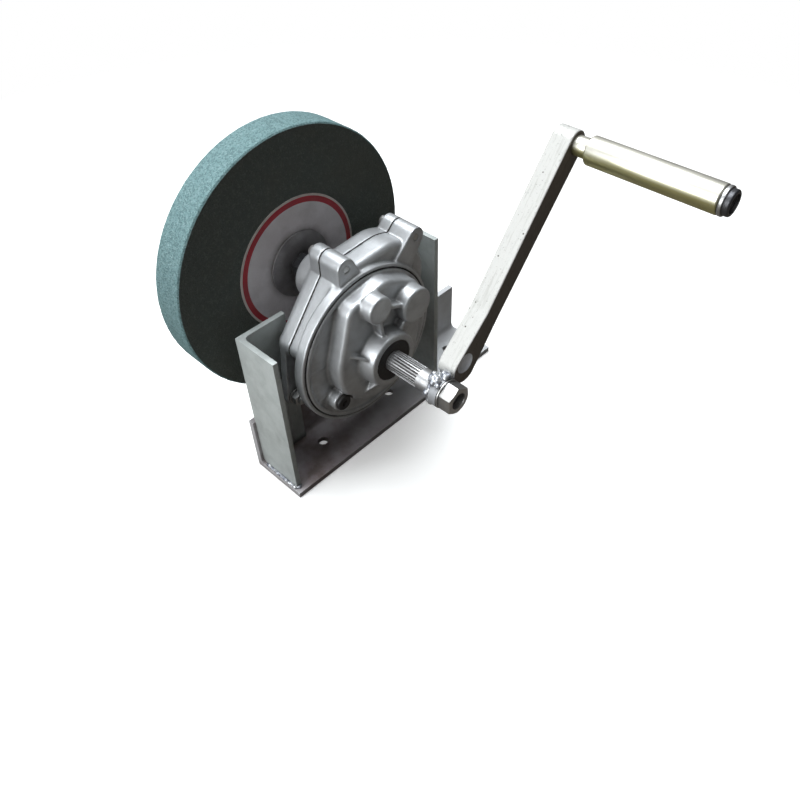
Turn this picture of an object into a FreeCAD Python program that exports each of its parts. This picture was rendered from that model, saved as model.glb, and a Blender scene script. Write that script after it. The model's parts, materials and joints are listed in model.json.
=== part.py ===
import FreeCAD, Part
import math
import os
import Sketcher
from FreeCAD import Placement, Rotation, Vector

# Hand crank bench grinder, in millimetres.
# X runs along the base towards its foot, Y from the crank towards the wheel, Z up.
# The origin is on the mounting face under the crank axis, in line with the posts' front edges.

doc = FreeCAD.newDocument("hand_crank_bench_grinder")
sheet = doc.addObject("Spreadsheet::Sheet", "Sizes")

STAND_SIZES = {
    "stand_width": 201,
    "post_leg": 50,
    "post_thickness": 5,
    "post_toe_margin": 15.5,
    "left_post_height": 161,
    "right_post_head": 20,
    "base_leg": 63,
    "base_thickness": 6,
    "base_margin": 3,
    "base_foot": 81,
    "root_radius": 5,
    "hole_radius": 5,
    "hole_pitch": 95,
    "hole_inset": 27,
    "first_hole": 60.5,
    "weld_leg": 2.6,
}
TRAIN_SIZES = {
    "crank_height": 128,
    "spindle_across": -9,
    "spindle_rise": 59,
    "gear_module": 1.5,
    "crank_teeth": 56,
    "first_pinion_teeth": 14,
    "second_gear_teeth": 48,
    "spindle_teeth": 16,
    "addendum_share": 0.85,
    "root_share": 1.15,
    "tooth_backlash": 0.2,
    "first_pair_start": -15.5,
    "first_pair_face": 12,
    "second_pair_start": 22.2,
    "second_pair_face": 8,
    "pinion_overhang": 1,
}
CASING_SIZES = {
    "rim_radius": 79,
    "rim_wall": 3.4,
    "rim_front": -6,
    "web_thickness": 5,
    "casing_wall": 5,
    "split_level": 21,
    "gasket_thickness": 0.5,
    "rear_level": 38,
    "rear_wall": 4,
    "casing_fillet": 6,
    "gear_lobe_radius": 46.5,
    "spindle_lobe_radius": 24,
    "crank_lobe_radius": 31,
    "ear_radius": 9.5,
    "ear_front": -3,
    "ear_rear": 34,
    "ear_web_radius": 16,
    "top_ear_across": -15.5,
    "top_ear_rise": 89.7,
    "side_ear_across": 68,
    "side_ear_rise": 80,
    "low_ear_across": -59.5,
    "low_ear_rise": 20,
    "right_ear_across": 58,
    "right_ear_rise": -16,
    "lug_across": 66,
    "lug_rise": -38,
    "lug_thickness": 8,
    "pad_radius": 10,
    "upper_pad_rise": 42,
    "spindle_boss_radius": 23,
    "spindle_boss_end": 49,
    "small_boss_radius": 18,
    "small_boss_end": 42,
    "crank_boss_radius": 26,
    "pinion_passage": 13,
    "spindle_passage": 9.5,
}
COVER_SIZES = {
    "cover_gap": 0.9,
    "cover_front": -7,
    "cover_step": 2,
    "lip_width": 4,
    "dome_front": -22,
    "dome_wall": 4,
    "dome_fillet": 4,
    "dome_main_radius": 50,
    "dome_corner_across": -21,
    "dome_corner_rise": 53,
    "dome_corner_radius": 14,
    "dome_crown_across": 8,
    "dome_crown_rise": 50,
    "dome_crown_radius": 22,
    "dome_side_margin": 2,
    "boss_front": -35,
    "round_boss_radius": 13,
    "large_boss_radius": 17,
    "seal_boss_front": -38,
    "seal_boss_radius": 26,
    "seal_boss_flare": 3,
    "boss_fillet": 1.5,
    "plug_across": -46,
    "plug_rise": -33,
    "plug_boss_radius": 9.5,
    "plug_boss_front": -16,
    "rib_thickness": 3,
    "rib_reach": 42,
    "rib_front": -34,
    "web_wall": 4,
    "web_front": -31,
    "shaft_clearance": 1.5,
    "low_rib_height": 1,
    "low_rib_start": 54,
    "low_rib_end": 69,
    "gasket_inner_radius": 68,
    "bead_depth": 1.2,
}
BEARING_SIZES = {
    "crank_shaft_radius": 10,
    "crank_bearing_radius": 21,
    "crank_bearing_width": 12,
    "crank_ball_radius": 3.175,
    "small_shaft_radius": 6,
    "small_bearing_radius": 14,
    "small_bearing_width": 8,
    "small_ball_radius": 2.38,
    "spindle_shaft_radius": 8.5,
    "spindle_bearing_radius": 20,
    "spindle_bearing_width": 12,
    "spindle_ball_radius": 3.375,
    "ring_share": 0.33,
    "ball_fill": 0.6,
    "ball_clearance": 0.06,
    "cage_wall": 1.1,
    "cage_clearance": 0.2,
    "front_bearing_start": -30.8,
    "back_bearing_start": 1,
    "small_back_start": 31.2,
    "spindle_bearing_start": 31.8,
    "seal_radius": 20,
    "seal_width": 6.5,
    "spindle_seal_radius": 15,
    "spindle_seal_width": 5,
    "bush_wall": 2,
    "bush_length": 10,
    "bush_start": -30,
    "fit_clearance": 0.05,
    "overrun": 1,
    "end_chamfer": 1,
}
CRANK_SIZES = {
    "spline_count": 24,
    "spline_depth": 0.9,
    "spline_front": -72,
    "arm_front": -99.5,
    "arm_depth": 19,
    "arm_across": 155.1,
    "arm_rise": 167,
    "arm_eye_radius": 11.8,
    "arm_waist_across": 58.5,
    "arm_waist_rise": 48.1,
    "arm_waist_radius": 10,
    "arm_foot_across": 24.7,
    "arm_foot_rise": 11.3,
    "arm_foot_radius": 14.5,
    "arm_hub_radius": 14.5,
    "arm_hub_thickness": 8,
    "arm_edge": 1.2,
    "scoop_radius": 28,
    "scoop_depth": 1.9,
    "scoop_across": 24.5,
    "scoop_rise": 17.6,
    "thread_radius": 8,
    "crank_end": -107.5,
    "washer_radius": 14,
    "washer_thickness": 1.5,
    "nut_across_flats": 24,
    "nut_height": 12,
    "crank_nut_height": 13,
    "hub_weld_leg": 4,
    "hub_weld_belly": 0.8,
    "gear_collar_radius": 13,
    "key_width": 5,
    "key_height": 5,
    "key_depth": 2.5,
    "circlip_height": 3,
    "circlip_width": 1.2,
    "circlip_gap": 60,
}
GRIP_SIZES = {
    "grip_bolt_radius": 5,
    "grip_collar_radius": 8.4,
    "grip_collar_length": 12.5,
    "grip_radius": 12,
    "grip_length": 113.5,
    "grip_journal": 12,
    "grip_relief_radius": 8,
    "grip_edge": 1.2,
    "grip_washer_radius": 11.8,
    "grip_washer_thickness": 3,
    "grip_head_radius": 10.4,
    "grip_head_height": 5,
    "grip_end_play": 0.3,
    "grip_recess_radius": 7.6,
    "grip_recess_depth": 2.2,
    "grip_socket_flats": 8,
    "grip_socket_depth": 2,
}
WHEEL_SIZES = {
    "wheel_radius": 125,
    "wheel_width": 32,
    "wheel_front": 70,
    "wheel_bore": 16,
    "wheel_edge": 1,
    "label_radius": 64.7,
    "label_thickness": 0.5,
    "flange_radius": 32,
    "flange_thickness": 4,
    "flange_step_share": 0.6,
    "flange_relief": 1.5,
    "flange_rim": 6,
    "flange_hub_radius": 19,
    "spindle_thread_radius": 8,
    "spindle_tail": 4,
    "spindle_front": -30.6,
}
FASTENER_SIZES = {
    "ear_screw_radius": 3,
    "ear_screw_head_radius": 5,
    "ear_screw_head": 6,
    "ear_screw_recess": 0.6,
    "low_screw_front": 6,
    "socket_share": 0.55,
    "cover_screw_radius": 2,
    "cover_screw_head_radius": 3.5,
    "cover_screw_head": 4,
    "cover_screw_circle": 71.5,
    "cover_screw_bite": 4,
    "plug_radius": 5,
    "plug_head_radius": 7.6,
    "plug_head": 3.5,
    "plug_length": 9,
    "plug_socket_flats": 6,
    "plug_socket_depth": 2.2,
    "mount_bolt_radius": 4,
    "mount_bolt_flats": 13,
    "mount_bolt_head": 5.5,
    "mount_nut_height": 6.5,
    "mount_bolt_tail": 3,
    "mount_washer_radius": 8,
    "mount_washer_thickness": 1.5,
    "blind_bolt_bite": 8,
}
ALL_SIZES = (STAND_SIZES, TRAIN_SIZES, CASING_SIZES, COVER_SIZES, BEARING_SIZES,
             CRANK_SIZES, GRIP_SIZES, WHEEL_SIZES, FASTENER_SIZES)

# Angles round the crank axis, in degrees from +X towards +Z
COVER_SCREW_ANGLES = (205, 238, 270, 302, 335)
RIB_ANGLES = (153, 237, 321)
LOW_RIB_ANGLES = (172, 205)

# Shares of a spline tooth's step where its root ends, its top starts and its top ends
SPLINE_ROOT = 0.36
SPLINE_RISE = 0.52
SPLINE_FALL = 0.84

# How many shaft radii a cutting wedge reaches
WEDGE_REACH = 3


class Size:
    """A number that remembers the cells it comes from, so that it can drive a property."""

    def __init__(self, number, text=None):
        self.number = float(number)
        self.text = text or repr(float(number))

    def __float__(self):
        return self.number

    def __add__(self, other):
        other = as_size(other)
        return Size(self.number + other.number, f"({self.text} + {other.text})")

    def __radd__(self, other):
        return as_size(other) + self

    def __sub__(self, other):
        other = as_size(other)
        return Size(self.number - other.number, f"({self.text} - {other.text})")

    def __rsub__(self, other):
        return as_size(other) - self

    def __mul__(self, other):
        other = as_size(other)
        return Size(self.number * other.number, f"({self.text} * {other.text})")

    def __rmul__(self, other):
        return as_size(other) * self

    def __truediv__(self, other):
        other = as_size(other)
        return Size(self.number / other.number, f"({self.text} / {other.text})")

    def __neg__(self):
        return as_size(0) - self

    def root(self):
        return Size(math.sqrt(self.number), f"sqrt({self.text})")


def as_size(value):
    return value if isinstance(value, Size) else Size(value)


class SizeBook:
    """Every size in the sheet, by name."""


def fill_sheet():
    """Write each size in its own cell, and return them by name."""
    book = SizeBook()
    row = 1
    for group in ALL_SIZES:
        for name, number in group.items():
            sheet.set(f"A{row}", name)
            sheet.set(f"B{row}", str(number))
            sheet.setAlias(f"B{row}", name)
            setattr(book, name, Size(number, f"Sizes.{name}"))
            row += 1
    doc.recompute()
    return book


S = fill_sheet()
ORIGIN = Size(0)
ALONG_Y = Rotation(Vector(1, 0, 0), -90)
SAME_LEVEL = 1e-6
SUBPARTS = []

# Axes of the gear train, from the teeth and the module
FIRST_CENTRES = (S.crank_teeth + S.first_pinion_teeth) * S.gear_module / 2
SECOND_CENTRES = (S.second_gear_teeth + S.spindle_teeth) * S.gear_module / 2
AXIS_SPAN = (S.spindle_across * S.spindle_across + S.spindle_rise * S.spindle_rise).root()
SPAN_SHARE = (FIRST_CENTRES * FIRST_CENTRES - SECOND_CENTRES * SECOND_CENTRES
              + AXIS_SPAN * AXIS_SPAN) / (2 * AXIS_SPAN)
SPAN_OFFSET = (FIRST_CENTRES * FIRST_CENTRES - SPAN_SHARE * SPAN_SHARE).root()
LAYSHAFT_ACROSS = (SPAN_SHARE * S.spindle_across + SPAN_OFFSET * S.spindle_rise) / AXIS_SPAN
LAYSHAFT_RISE = (SPAN_SHARE * S.spindle_rise - SPAN_OFFSET * S.spindle_across) / AXIS_SPAN

CRANK_AXIS = (ORIGIN, S.crank_height)
LAYSHAFT_AXIS = (LAYSHAFT_ACROSS, S.crank_height + LAYSHAFT_RISE)
SPINDLE_AXIS = (S.spindle_across, S.crank_height + S.spindle_rise)
GRIP_AXIS = (S.arm_across, S.crank_height + S.arm_rise)
ARM_FOOT = (S.arm_foot_across, S.crank_height + S.arm_foot_rise)
ARM_WAIST = (S.arm_waist_across, S.crank_height + S.arm_waist_rise)
TOP_EAR = (S.top_ear_across, S.crank_height + S.top_ear_rise)
SIDE_EAR = (S.side_ear_across, S.crank_height + S.side_ear_rise)
LOW_EAR = (S.low_ear_across, S.crank_height + S.low_ear_rise)
RIGHT_EAR = (S.right_ear_across, S.crank_height + S.right_ear_rise)
LEFT_LUG = (-S.lug_across, S.crank_height + S.lug_rise)
RIGHT_LUG = (S.lug_across, S.crank_height + S.lug_rise)
UPPER_PAD = (S.lug_across, S.crank_height + S.upper_pad_rise)
PLUG_AXIS = (S.plug_across, S.crank_height + S.plug_rise)
HALF_STAND = S.stand_width / 2
RIGHT_POST_HEIGHT = UPPER_PAD[1] - S.base_thickness + S.right_post_head
MOUNT_LEVEL = S.post_leg - S.post_thickness
SPLIT_FRONT = S.split_level - S.gasket_thickness / 2
SPLIT_REAR = S.split_level + S.gasket_thickness / 2
REAR_INSIDE = S.rear_level - S.rear_wall
RECESS_RADIUS = S.rim_radius - S.rim_wall
COVER_RADIUS = RECESS_RADIUS - S.cover_gap
COVER_FACE = S.cover_front + S.cover_step
DOME_INSIDE = S.dome_front + S.dome_wall
ARM_BACK = S.arm_front + S.arm_depth
HUB_BACK = S.arm_front + S.arm_hub_thickness
WHEEL_BACK = S.wheel_front + S.wheel_width
LABEL_FRONT = S.wheel_front - S.label_thickness
LABEL_BACK = WHEEL_BACK + S.label_thickness
INNER_FLANGE_FRONT = LABEL_FRONT - S.flange_thickness
OUTER_FLANGE_BACK = LABEL_BACK + S.flange_thickness
SECOND_PAIR_END = S.second_pair_start + S.second_pair_face
FIRST_PAIR_END = S.first_pair_start + S.first_pair_face
BACK_BEARING_END = S.back_bearing_start + S.crank_bearing_width
SMALL_BACK_END = S.small_back_start + S.small_bearing_width
SPINDLE_BEARING_END = S.spindle_bearing_start + S.spindle_bearing_width
GRIP_START = S.arm_front - S.grip_collar_length - S.grip_end_play
GRIP_END = GRIP_START - S.grip_length
GRIP_WASHER_END = GRIP_END - S.grip_end_play - S.grip_washer_thickness
GRIP_HEAD_END = GRIP_WASHER_END - S.grip_head_height


# Building helpers

def sub_part(obj, label):
    """Give an object the name that its file carries."""
    obj.Label = label
    SUBPARTS.append(obj)
    return obj


def place(obj, across=ORIGIN, along=ORIGIN, up=ORIGIN, rotation=None):
    """Put an object at a point, each coordinate tied to the sheet."""
    obj.Placement = Placement(Vector(float(across), float(along), float(up)), rotation or Rotation())
    for axis, size in (("x", across), ("y", along), ("z", up)):
        if as_size(size).text != ORIGIN.text:
            obj.setExpression(f"Placement.Base.{axis}", as_size(size).text)
    return obj


def sketch_on(body, role, name):
    sketch = body.newObject("Sketcher::SketchObject", name)
    plane = next(item for item in body.Origin.OriginFeatures if item.Role == role)
    sketch.AttachmentSupport = [(plane, "")]
    sketch.MapMode = "FlatFace"
    return sketch


def groove_arc(centre, radius, start, end):
    """A round groove's outline, which runs clockwise from one corner to the next."""
    middle = Vector(float(centre[0]), float(centre[1]), 0)
    first = math.atan2(end.y - middle.y, end.x - middle.x)
    last = math.atan2(start.y - middle.y, start.x - middle.x)
    return Part.ArcOfCircle(Part.Circle(middle, Vector(0, 0, 1), float(radius)), first, last)


def polygon(sketch, corners, groove=None):
    """Draw a closed outline whose corners are tied to the sheet; one side can be a groove."""
    points = [Vector(float(u), float(v), 0) for u, v in corners]
    count = len(points)
    first = sketch.GeometryCount
    sides = [Part.LineSegment(points[i], points[(i + 1) % count]) for i in range(count)]
    starts = [1] * count
    ends = [2] * count
    if groove:
        side, centre, radius = groove
        sides[side] = groove_arc(centre, radius, points[side], points[side + 1])
        starts[side] = 2
        ends[side] = 1
    sketch.addGeometry(sides)
    rules = [Sketcher.Constraint("Coincident", first + i, ends[i],
                                 first + (i + 1) % count, starts[(i + 1) % count])
             for i in range(count)]
    for i, point in enumerate(points):
        rules.append(Sketcher.Constraint("DistanceX", -1, 1, first + i, starts[i], point.x))
        rules.append(Sketcher.Constraint("DistanceY", -1, 1, first + i, starts[i], point.y))
    start = sketch.ConstraintCount + count
    if groove:
        rules.append(Sketcher.Constraint("Radius", first + side, float(radius)))
    sketch.addConstraint(rules)
    for i, (u, v) in enumerate(corners):
        sketch.setExpression(f"Constraints[{start + 2 * i}]", as_size(u).text)
        sketch.setExpression(f"Constraints[{start + 2 * i + 1}]", as_size(v).text)
    if groove:
        sketch.setExpression(f"Constraints[{start + 2 * count}]", as_size(radius).text)


def circle(sketch, u, v, radius):
    """Draw a circle whose centre and radius are tied to the sheet."""
    index = sketch.GeometryCount
    centre = Vector(float(u), float(v), 0)
    sketch.addGeometry(Part.Circle(centre, Vector(0, 0, 1), float(radius)))
    start = sketch.ConstraintCount
    sketch.addConstraint([
        Sketcher.Constraint("DistanceX", -1, 1, index, 3, centre.x),
        Sketcher.Constraint("DistanceY", -1, 1, index, 3, centre.y),
        Sketcher.Constraint("Radius", index, float(radius)),
    ])
    for offset, size in enumerate((u, v, radius)):
        sketch.setExpression(f"Constraints[{start + offset}]", as_size(size).text)


def pad(body, sketch, length, reverse=False):
    feature = body.newObject("PartDesign::Pad", sketch.Name + "_pad")
    feature.Profile = sketch
    feature.Reversed = reverse
    feature.setExpression("Length", as_size(length).text)
    return feature


def turned(name, axis, outline, groove=None):
    """A round piece: its outline is a list of radius and level, turned about an axis along Y."""
    body = doc.addObject("PartDesign::Body", name)
    sketch = sketch_on(body, "XZ_Plane", name + "_outline")
    polygon(sketch, outline, groove)
    turn = body.newObject("PartDesign::Revolution", name + "_turn")
    turn.Profile = sketch
    turn.ReferenceAxis = (sketch, ["V_Axis"])
    turn.Angle = 360
    return place(body, axis[0], ORIGIN, axis[1], ALONG_Y)


def ring(name, axis, inner, outer, start, end):
    return turned(name, axis, [(inner, start), (outer, start), (outer, end), (inner, end)])


def hexagon(name, axis, flats, start, height):
    """A six-sided prism along Y, its flats square to X."""
    body = doc.addObject("PartDesign::Body", name)
    sketch = sketch_on(body, "XY_Plane", name + "_flats")
    half = flats / 2
    side = flats / math.sqrt(3)
    polygon(sketch, [(half, side / 2), (ORIGIN, side), (-half, side / 2),
                     (-half, -side / 2), (ORIGIN, -side), (half, -side / 2)])
    pad(body, sketch, height)
    return place(body, axis[0], start, axis[1], ALONG_Y)


def boolean(kind, name, base, tool):
    feature = doc.addObject(f"Part::{kind}", name)
    feature.Base = base
    feature.Tool = tool
    return feature


def chamfered_hexagon(name, axis, flats, start, height):
    """A nut's or a bolt head's blank: a hexagon with its corners turned down at both ends."""
    prism = hexagon(name + "_prism", axis, flats, start, height)
    flat = flats / 2
    corner = flats / math.sqrt(3)
    rise = (corner - flat) / 2
    end = start + height
    blank = turned(name + "_blank", axis, [(ORIGIN, start), (flat, start), (corner, start + rise),
                                           (corner, end - rise), (flat, end), (ORIGIN, end)])
    return boolean("Common", name + "_head", prism, blank)


def nut(name, axis, flats, bore, start, height):
    blank = chamfered_hexagon(name, axis, flats, start, height)
    hole = turned(name + "_hole", axis, [(ORIGIN, start - S.overrun), (bore, start - S.overrun),
                                         (bore, start + height + S.overrun),
                                         (ORIGIN, start + height + S.overrun)])
    return boolean("Cut", name, blank, hole)


def group(label, members):
    """Identical or paired solids that share one name."""
    compound = doc.addObject("Part::Compound", label)
    compound.Links = members
    return sub_part(compound, label)


def shaped(label, shape, across=ORIGIN, along=ORIGIN, up=ORIGIN):
    """A piece whose outline is worked out by formula."""
    feature = doc.addObject("Part::Feature", label)
    feature.Shape = shape
    feature.Placement = Placement(Vector(float(across), float(along), float(up)), Rotation())
    return feature


def rod(axis, radius, start, end):
    return Part.makeCylinder(float(radius), float(end) - float(start),
                             Vector(float(axis[0]), float(start), float(axis[1])), Vector(0, 1, 0))


def lobe(axis, radius):
    return float(axis[0]), float(axis[1]), float(radius)


def hull(lobes, start, end):
    """A prism along Y round a ring of circles, given anticlockwise seen from the crank."""
    edges = []
    normals = []
    count = len(lobes)
    for i, (x1, z1, r1) in enumerate(lobes):
        x2, z2, r2 = lobes[(i + 1) % count]
        heading = math.atan2(z2 - z1, x2 - x1)
        normals.append(heading - math.acos((r1 - r2) / math.hypot(x2 - x1, z2 - z1)))

    def point(index, angle):
        x, z, radius = lobes[index % count]
        return Vector(x + radius * math.cos(angle), float(start), z + radius * math.sin(angle))

    for i in range(count):
        turn = (normals[i] - normals[i - 1]) % (2 * math.pi)
        middle = normals[i - 1] + turn / 2
        edges.append(Part.Arc(point(i, normals[i - 1]), point(i, middle), point(i, normals[i])).toShape())
        edges.append(Part.LineSegment(point(i, normals[i]), point(i + 1, normals[i])).toShape())
    face = Part.Face(Part.Wire(edges))
    return face.extrude(Vector(0, float(end) - float(start), 0))


def round_end(shape, level, radius):
    """Round every edge that lies at one level."""
    flat = [edge for edge in shape.Edges
            if edge.BoundBox.YLength < SAME_LEVEL and abs(edge.BoundBox.YMin - float(level)) < SAME_LEVEL]
    return shape.makeFillet(float(radius), flat)


def at_angle(axis, radius, angle):
    """A point at a radius and an angle round an axis."""
    turn = math.radians(angle)
    return (float(axis[0]) + float(radius) * math.cos(turn),
            float(axis[1]) + float(radius) * math.sin(turn))


def merged(shapes):
    return shapes[0].multiFuse(shapes[1:]).removeSplitter()


# Stand

def nearest_edge(shape, point):
    """The name of the straight edge along an angle iron that lies nearest to a point."""
    distances = [edge.distToShape(Part.Vertex(point))[0] for edge in shape.Edges]
    return f"Edge{distances.index(min(distances)) + 1}"


def angle_iron(name, corners, plane, length, root):
    """A length of angle iron with its inner corner rounded."""
    body = doc.addObject("PartDesign::Body", name)
    sketch = sketch_on(body, plane, name + "_section")
    polygon(sketch, corners)
    bar = pad(body, sketch, length)
    doc.recompute()
    fillet = body.newObject("PartDesign::Fillet", name + "_root")
    fillet.Base = (bar, [nearest_edge(bar.Shape, root)])
    fillet.setExpression("Radius", S.root_radius.text)
    return body


def base_angle():
    """The flat leg lies on the bench and the upright leg stands behind the posts."""
    front = S.post_leg - S.base_leg + S.base_thickness
    back = S.post_leg + S.base_thickness
    length = S.base_margin + S.stand_width + S.base_foot
    left = -HALF_STAND - S.base_margin
    corners = [(front, ORIGIN), (back, ORIGIN), (back, S.base_leg), (S.post_leg, S.base_leg),
               (S.post_leg, S.base_thickness), (front, S.base_thickness)]
    root = Vector(float(length) / 2, float(S.post_leg), float(S.base_thickness))
    body = angle_iron("base_angle", corners, "YZ_Plane", length, root)
    holes = sketch_on(body, "XY_Plane", "bench_hole")
    circle(holes, S.first_hole, S.hole_inset, S.hole_radius)
    pocket = body.newObject("PartDesign::Pocket", "bench_hole_cut")
    pocket.Profile = holes
    pocket.Type = "ThroughAll"
    pocket.Reversed = True
    row = body.newObject("PartDesign::LinearPattern", "bench_hole_row")
    row.Originals = [pocket]
    row.Direction = (holes, ["H_Axis"])
    row.Occurrences = 3
    row.setExpression("Length", (S.hole_pitch * 2).text)
    body.Tip = row
    sub_part(place(body, left), "base_angle")


def post(name, side, height):
    """A post with one leg at the side and one at the back that reaches past the gearbox's lug.

    Its foot is bevelled to clear the base's root.
    """
    outer = side * HALF_STAND
    inner = side * (HALF_STAND - S.post_thickness)
    toe = side * (S.lug_across - S.post_toe_margin)
    corners = [(outer, ORIGIN), (inner, ORIGIN), (inner, MOUNT_LEVEL), (toe, MOUNT_LEVEL),
               (toe, S.post_leg), (outer, S.post_leg)]
    root = Vector(float(inner), float(MOUNT_LEVEL), float(height) / 2)
    body = angle_iron(name + "_bar", corners, "XY_Plane", height, root)
    bevel = sketch_on(body, "YZ_Plane", name + "_bevel")
    polygon(bevel, [(S.post_leg - S.root_radius, ORIGIN), (S.post_leg, ORIGIN),
                    (S.post_leg, S.root_radius)])
    pocket = body.newObject("PartDesign::Pocket", name + "_bevel_cut")
    pocket.Profile = bevel
    pocket.Type = "ThroughAll"
    pocket.Midplane = True
    return place(body, up=S.base_thickness)


def drilled_post(name, side, height, axes):
    """A post with clearance holes for the gearbox bolts in its back leg."""
    cut = post(name, side, height)
    for index, axis in enumerate(axes):
        hole = ring_tool(f"{name}_hole_{index}", axis, S.mount_bolt_radius + S.fit_clearance,
                         MOUNT_LEVEL - S.overrun, S.post_leg + S.overrun)
        cut = boolean("Cut", f"{name}_cut_{index}", cut, hole)
    sub_part(cut, name)


def ring_tool(name, axis, radius, start, end):
    return turned(name, axis, [(ORIGIN, start), (radius, start), (radius, end), (ORIGIN, end)])


def weld_bead(name, across, along, length, rotation):
    """A fillet weld's bead, three-cornered, along the foot of a post."""
    body = doc.addObject("PartDesign::Body", name)
    sketch = sketch_on(body, "XZ_Plane", name + "_section")
    polygon(sketch, [(ORIGIN, ORIGIN), (S.weld_leg, ORIGIN), (ORIGIN, S.weld_leg)])
    pad(body, sketch, length)
    return place(body, across, along, S.base_thickness, rotation)


def post_welds():
    """Beads on the outer side and across the front of each post's foot."""
    outwards = Rotation()
    inwards = Rotation(Vector(0, 0, 1), 180)
    members = [
        weld_bead("right_outer_bead", HALF_STAND, MOUNT_LEVEL, MOUNT_LEVEL, outwards),
        weld_bead("left_outer_bead", -HALF_STAND, ORIGIN, MOUNT_LEVEL, inwards),
        weld_bead("right_front_bead", HALF_STAND - S.post_thickness, ORIGIN, S.post_thickness,
                  Rotation(Vector(0, 0, 1), -90)),
        weld_bead("left_front_bead", -HALF_STAND, ORIGIN, S.post_thickness,
                  Rotation(Vector(0, 0, 1), -90)),
    ]
    group("post_welds", members)


# Gears

def involute_point(base, radius):
    """How far round an involute has turned where it reaches a radius."""
    angle = math.acos(min(1.0, base / radius))
    return math.tan(angle) - angle


def gear_outline(teeth, module, phase, level):
    """A closed wire round a spur gear at one level, a tooth centred at the phase angle."""
    pressure = math.radians(20)
    pitch = teeth * module / 2
    base = pitch * math.cos(pressure)
    tip = pitch + float(S.addendum_share) * module
    root = pitch - float(S.root_share) * module
    half = math.pi / (2 * teeth) - float(S.tooth_backlash) / (4 * pitch)
    zero = half + involute_point(base, pitch)
    start = max(root, base)
    radii = [start + (tip - start) * step / 4 for step in range(5)]
    offsets = [zero - involute_point(base, radius) for radius in radii]

    def point(radius, angle):
        return Vector(radius * math.cos(angle), level, radius * math.sin(angle))

    edges = []
    pitch_angle = 2 * math.pi / teeth
    for tooth in range(teeth):
        centre = phase + tooth * pitch_angle
        rise = [point(r, centre - a) for r, a in zip(radii, offsets)]
        fall = [point(r, centre + a) for r, a in zip(radii, offsets)][::-1]
        foot = point(root, centre - offsets[0])
        heel = point(root, centre + offsets[0])
        next_foot = point(root, centre + pitch_angle - offsets[0])
        if start > root + SAME_LEVEL:
            edges.append(Part.LineSegment(foot, rise[0]).toShape())
        for points in (rise, fall):
            curve = Part.BSplineCurve()
            curve.interpolate(points)
            edges.append(curve.toShape())
            if points is rise:
                edges.append(Part.Arc(rise[-1], point(tip, centre), fall[0]).toShape())
        if start > root + SAME_LEVEL:
            edges.append(Part.LineSegment(fall[-1], heel).toShape())
        edges.append(Part.Arc(heel, point(root, centre + pitch_angle / 2), next_foot).toShape())
    return Part.Wire(edges)


def gear_blank(teeth, phase, start, face):
    outline = gear_outline(round(float(teeth)), float(S.gear_module), phase, float(start))
    return Part.Face(outline).extrude(Vector(0, float(face), 0))


def heading(axis, other):
    return math.atan2(float(other[1]) - float(axis[1]), float(other[0]) - float(axis[0]))


# A tooth of each driving gear points along the line of centres, and a gap of its pinion meets it
CRANK_PHASE = heading(CRANK_AXIS, LAYSHAFT_AXIS)
FIRST_PINION_PHASE = heading(LAYSHAFT_AXIS, CRANK_AXIS) + math.pi / float(S.first_pinion_teeth)
SECOND_GEAR_PHASE = heading(LAYSHAFT_AXIS, SPINDLE_AXIS)
SPINDLE_PHASE = heading(SPINDLE_AXIS, LAYSHAFT_AXIS) + math.pi / float(S.spindle_teeth)


def local_rod(radius, start, end):
    return rod((0, 0), radius, start, end)


def key_slot(radius, start, end):
    """The room that a key takes on top of a shaft of a given radius."""
    width = float(S.key_width)
    clearance = float(S.fit_clearance)
    low = float(radius) - float(S.key_depth) - clearance
    return Part.makeBox(width + 2 * clearance, float(end) - float(start),
                        float(S.key_height) + 2 * clearance,
                        Vector(-width / 2 - clearance, float(start), low))


def keyed_gear(label, axis, teeth, phase, bore, start, face):
    """A gear with a round bore and a keyway above it."""
    blank = gear_blank(teeth, phase, start, face)
    hole = local_rod(bore + S.fit_clearance, start - S.overrun, start + face + S.overrun)
    solid = blank.cut(hole).cut(key_slot(bore, start - S.overrun, start + face + S.overrun))
    sub_part(shaped(label, solid, axis[0], ORIGIN, axis[1]), label)


def key(label, axis, radius, start, face):
    """A key half sunk in its shaft, as long as the gear is wide."""
    block = doc.addObject("Part::Box", label)
    block.setExpression("Length", S.key_width.text)
    block.setExpression("Width", (face - 2 * S.fit_clearance).text)
    block.setExpression("Height", S.key_height.text)
    sub_part(place(block, axis[0] - S.key_width / 2, start + S.fit_clearance,
                   axis[1] + radius - S.key_depth), label)


# Bearings

def bearing_rings(prefix, axis, bore, outer, width, ball, start):
    """The two rings of a ball bearing, each turned with a groove for the balls."""
    pitch = (bore + outer) / 2
    land = (outer - bore) * S.ring_share
    middle = start + width / 2
    end = start + width
    groove = ball + S.ball_clearance
    depth = pitch - bore - land
    half = (groove * groove - depth * depth).root()
    inner = [(bore + S.fit_clearance, start), (bore + land, start), (bore + land, middle - half),
             (bore + land, middle + half), (bore + land, end), (bore + S.fit_clearance, end)]
    fixed = [(outer - land, start), (outer - S.fit_clearance, start), (outer - S.fit_clearance, end),
             (outer - land, end), (outer - land, middle + half), (outer - land, middle - half)]
    return (turned(prefix + "_inner_ring", axis, inner, (2, (pitch, middle), groove)),
            turned(prefix + "_outer_ring", axis, fixed, (4, (pitch, middle), groove)))


def ball_centres(bore, outer, width, ball, start):
    """The centres of as many balls as fill their share of the pitch circle."""
    pitch = (float(bore) + float(outer)) / 2
    level = float(start) + float(width) / 2
    total = round(float(S.ball_fill) * math.pi * pitch / float(ball))
    for index in range(total):
        x, z = at_angle((0, 0), pitch, 360 * index / total)
        yield Vector(x, level, z)


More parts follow.
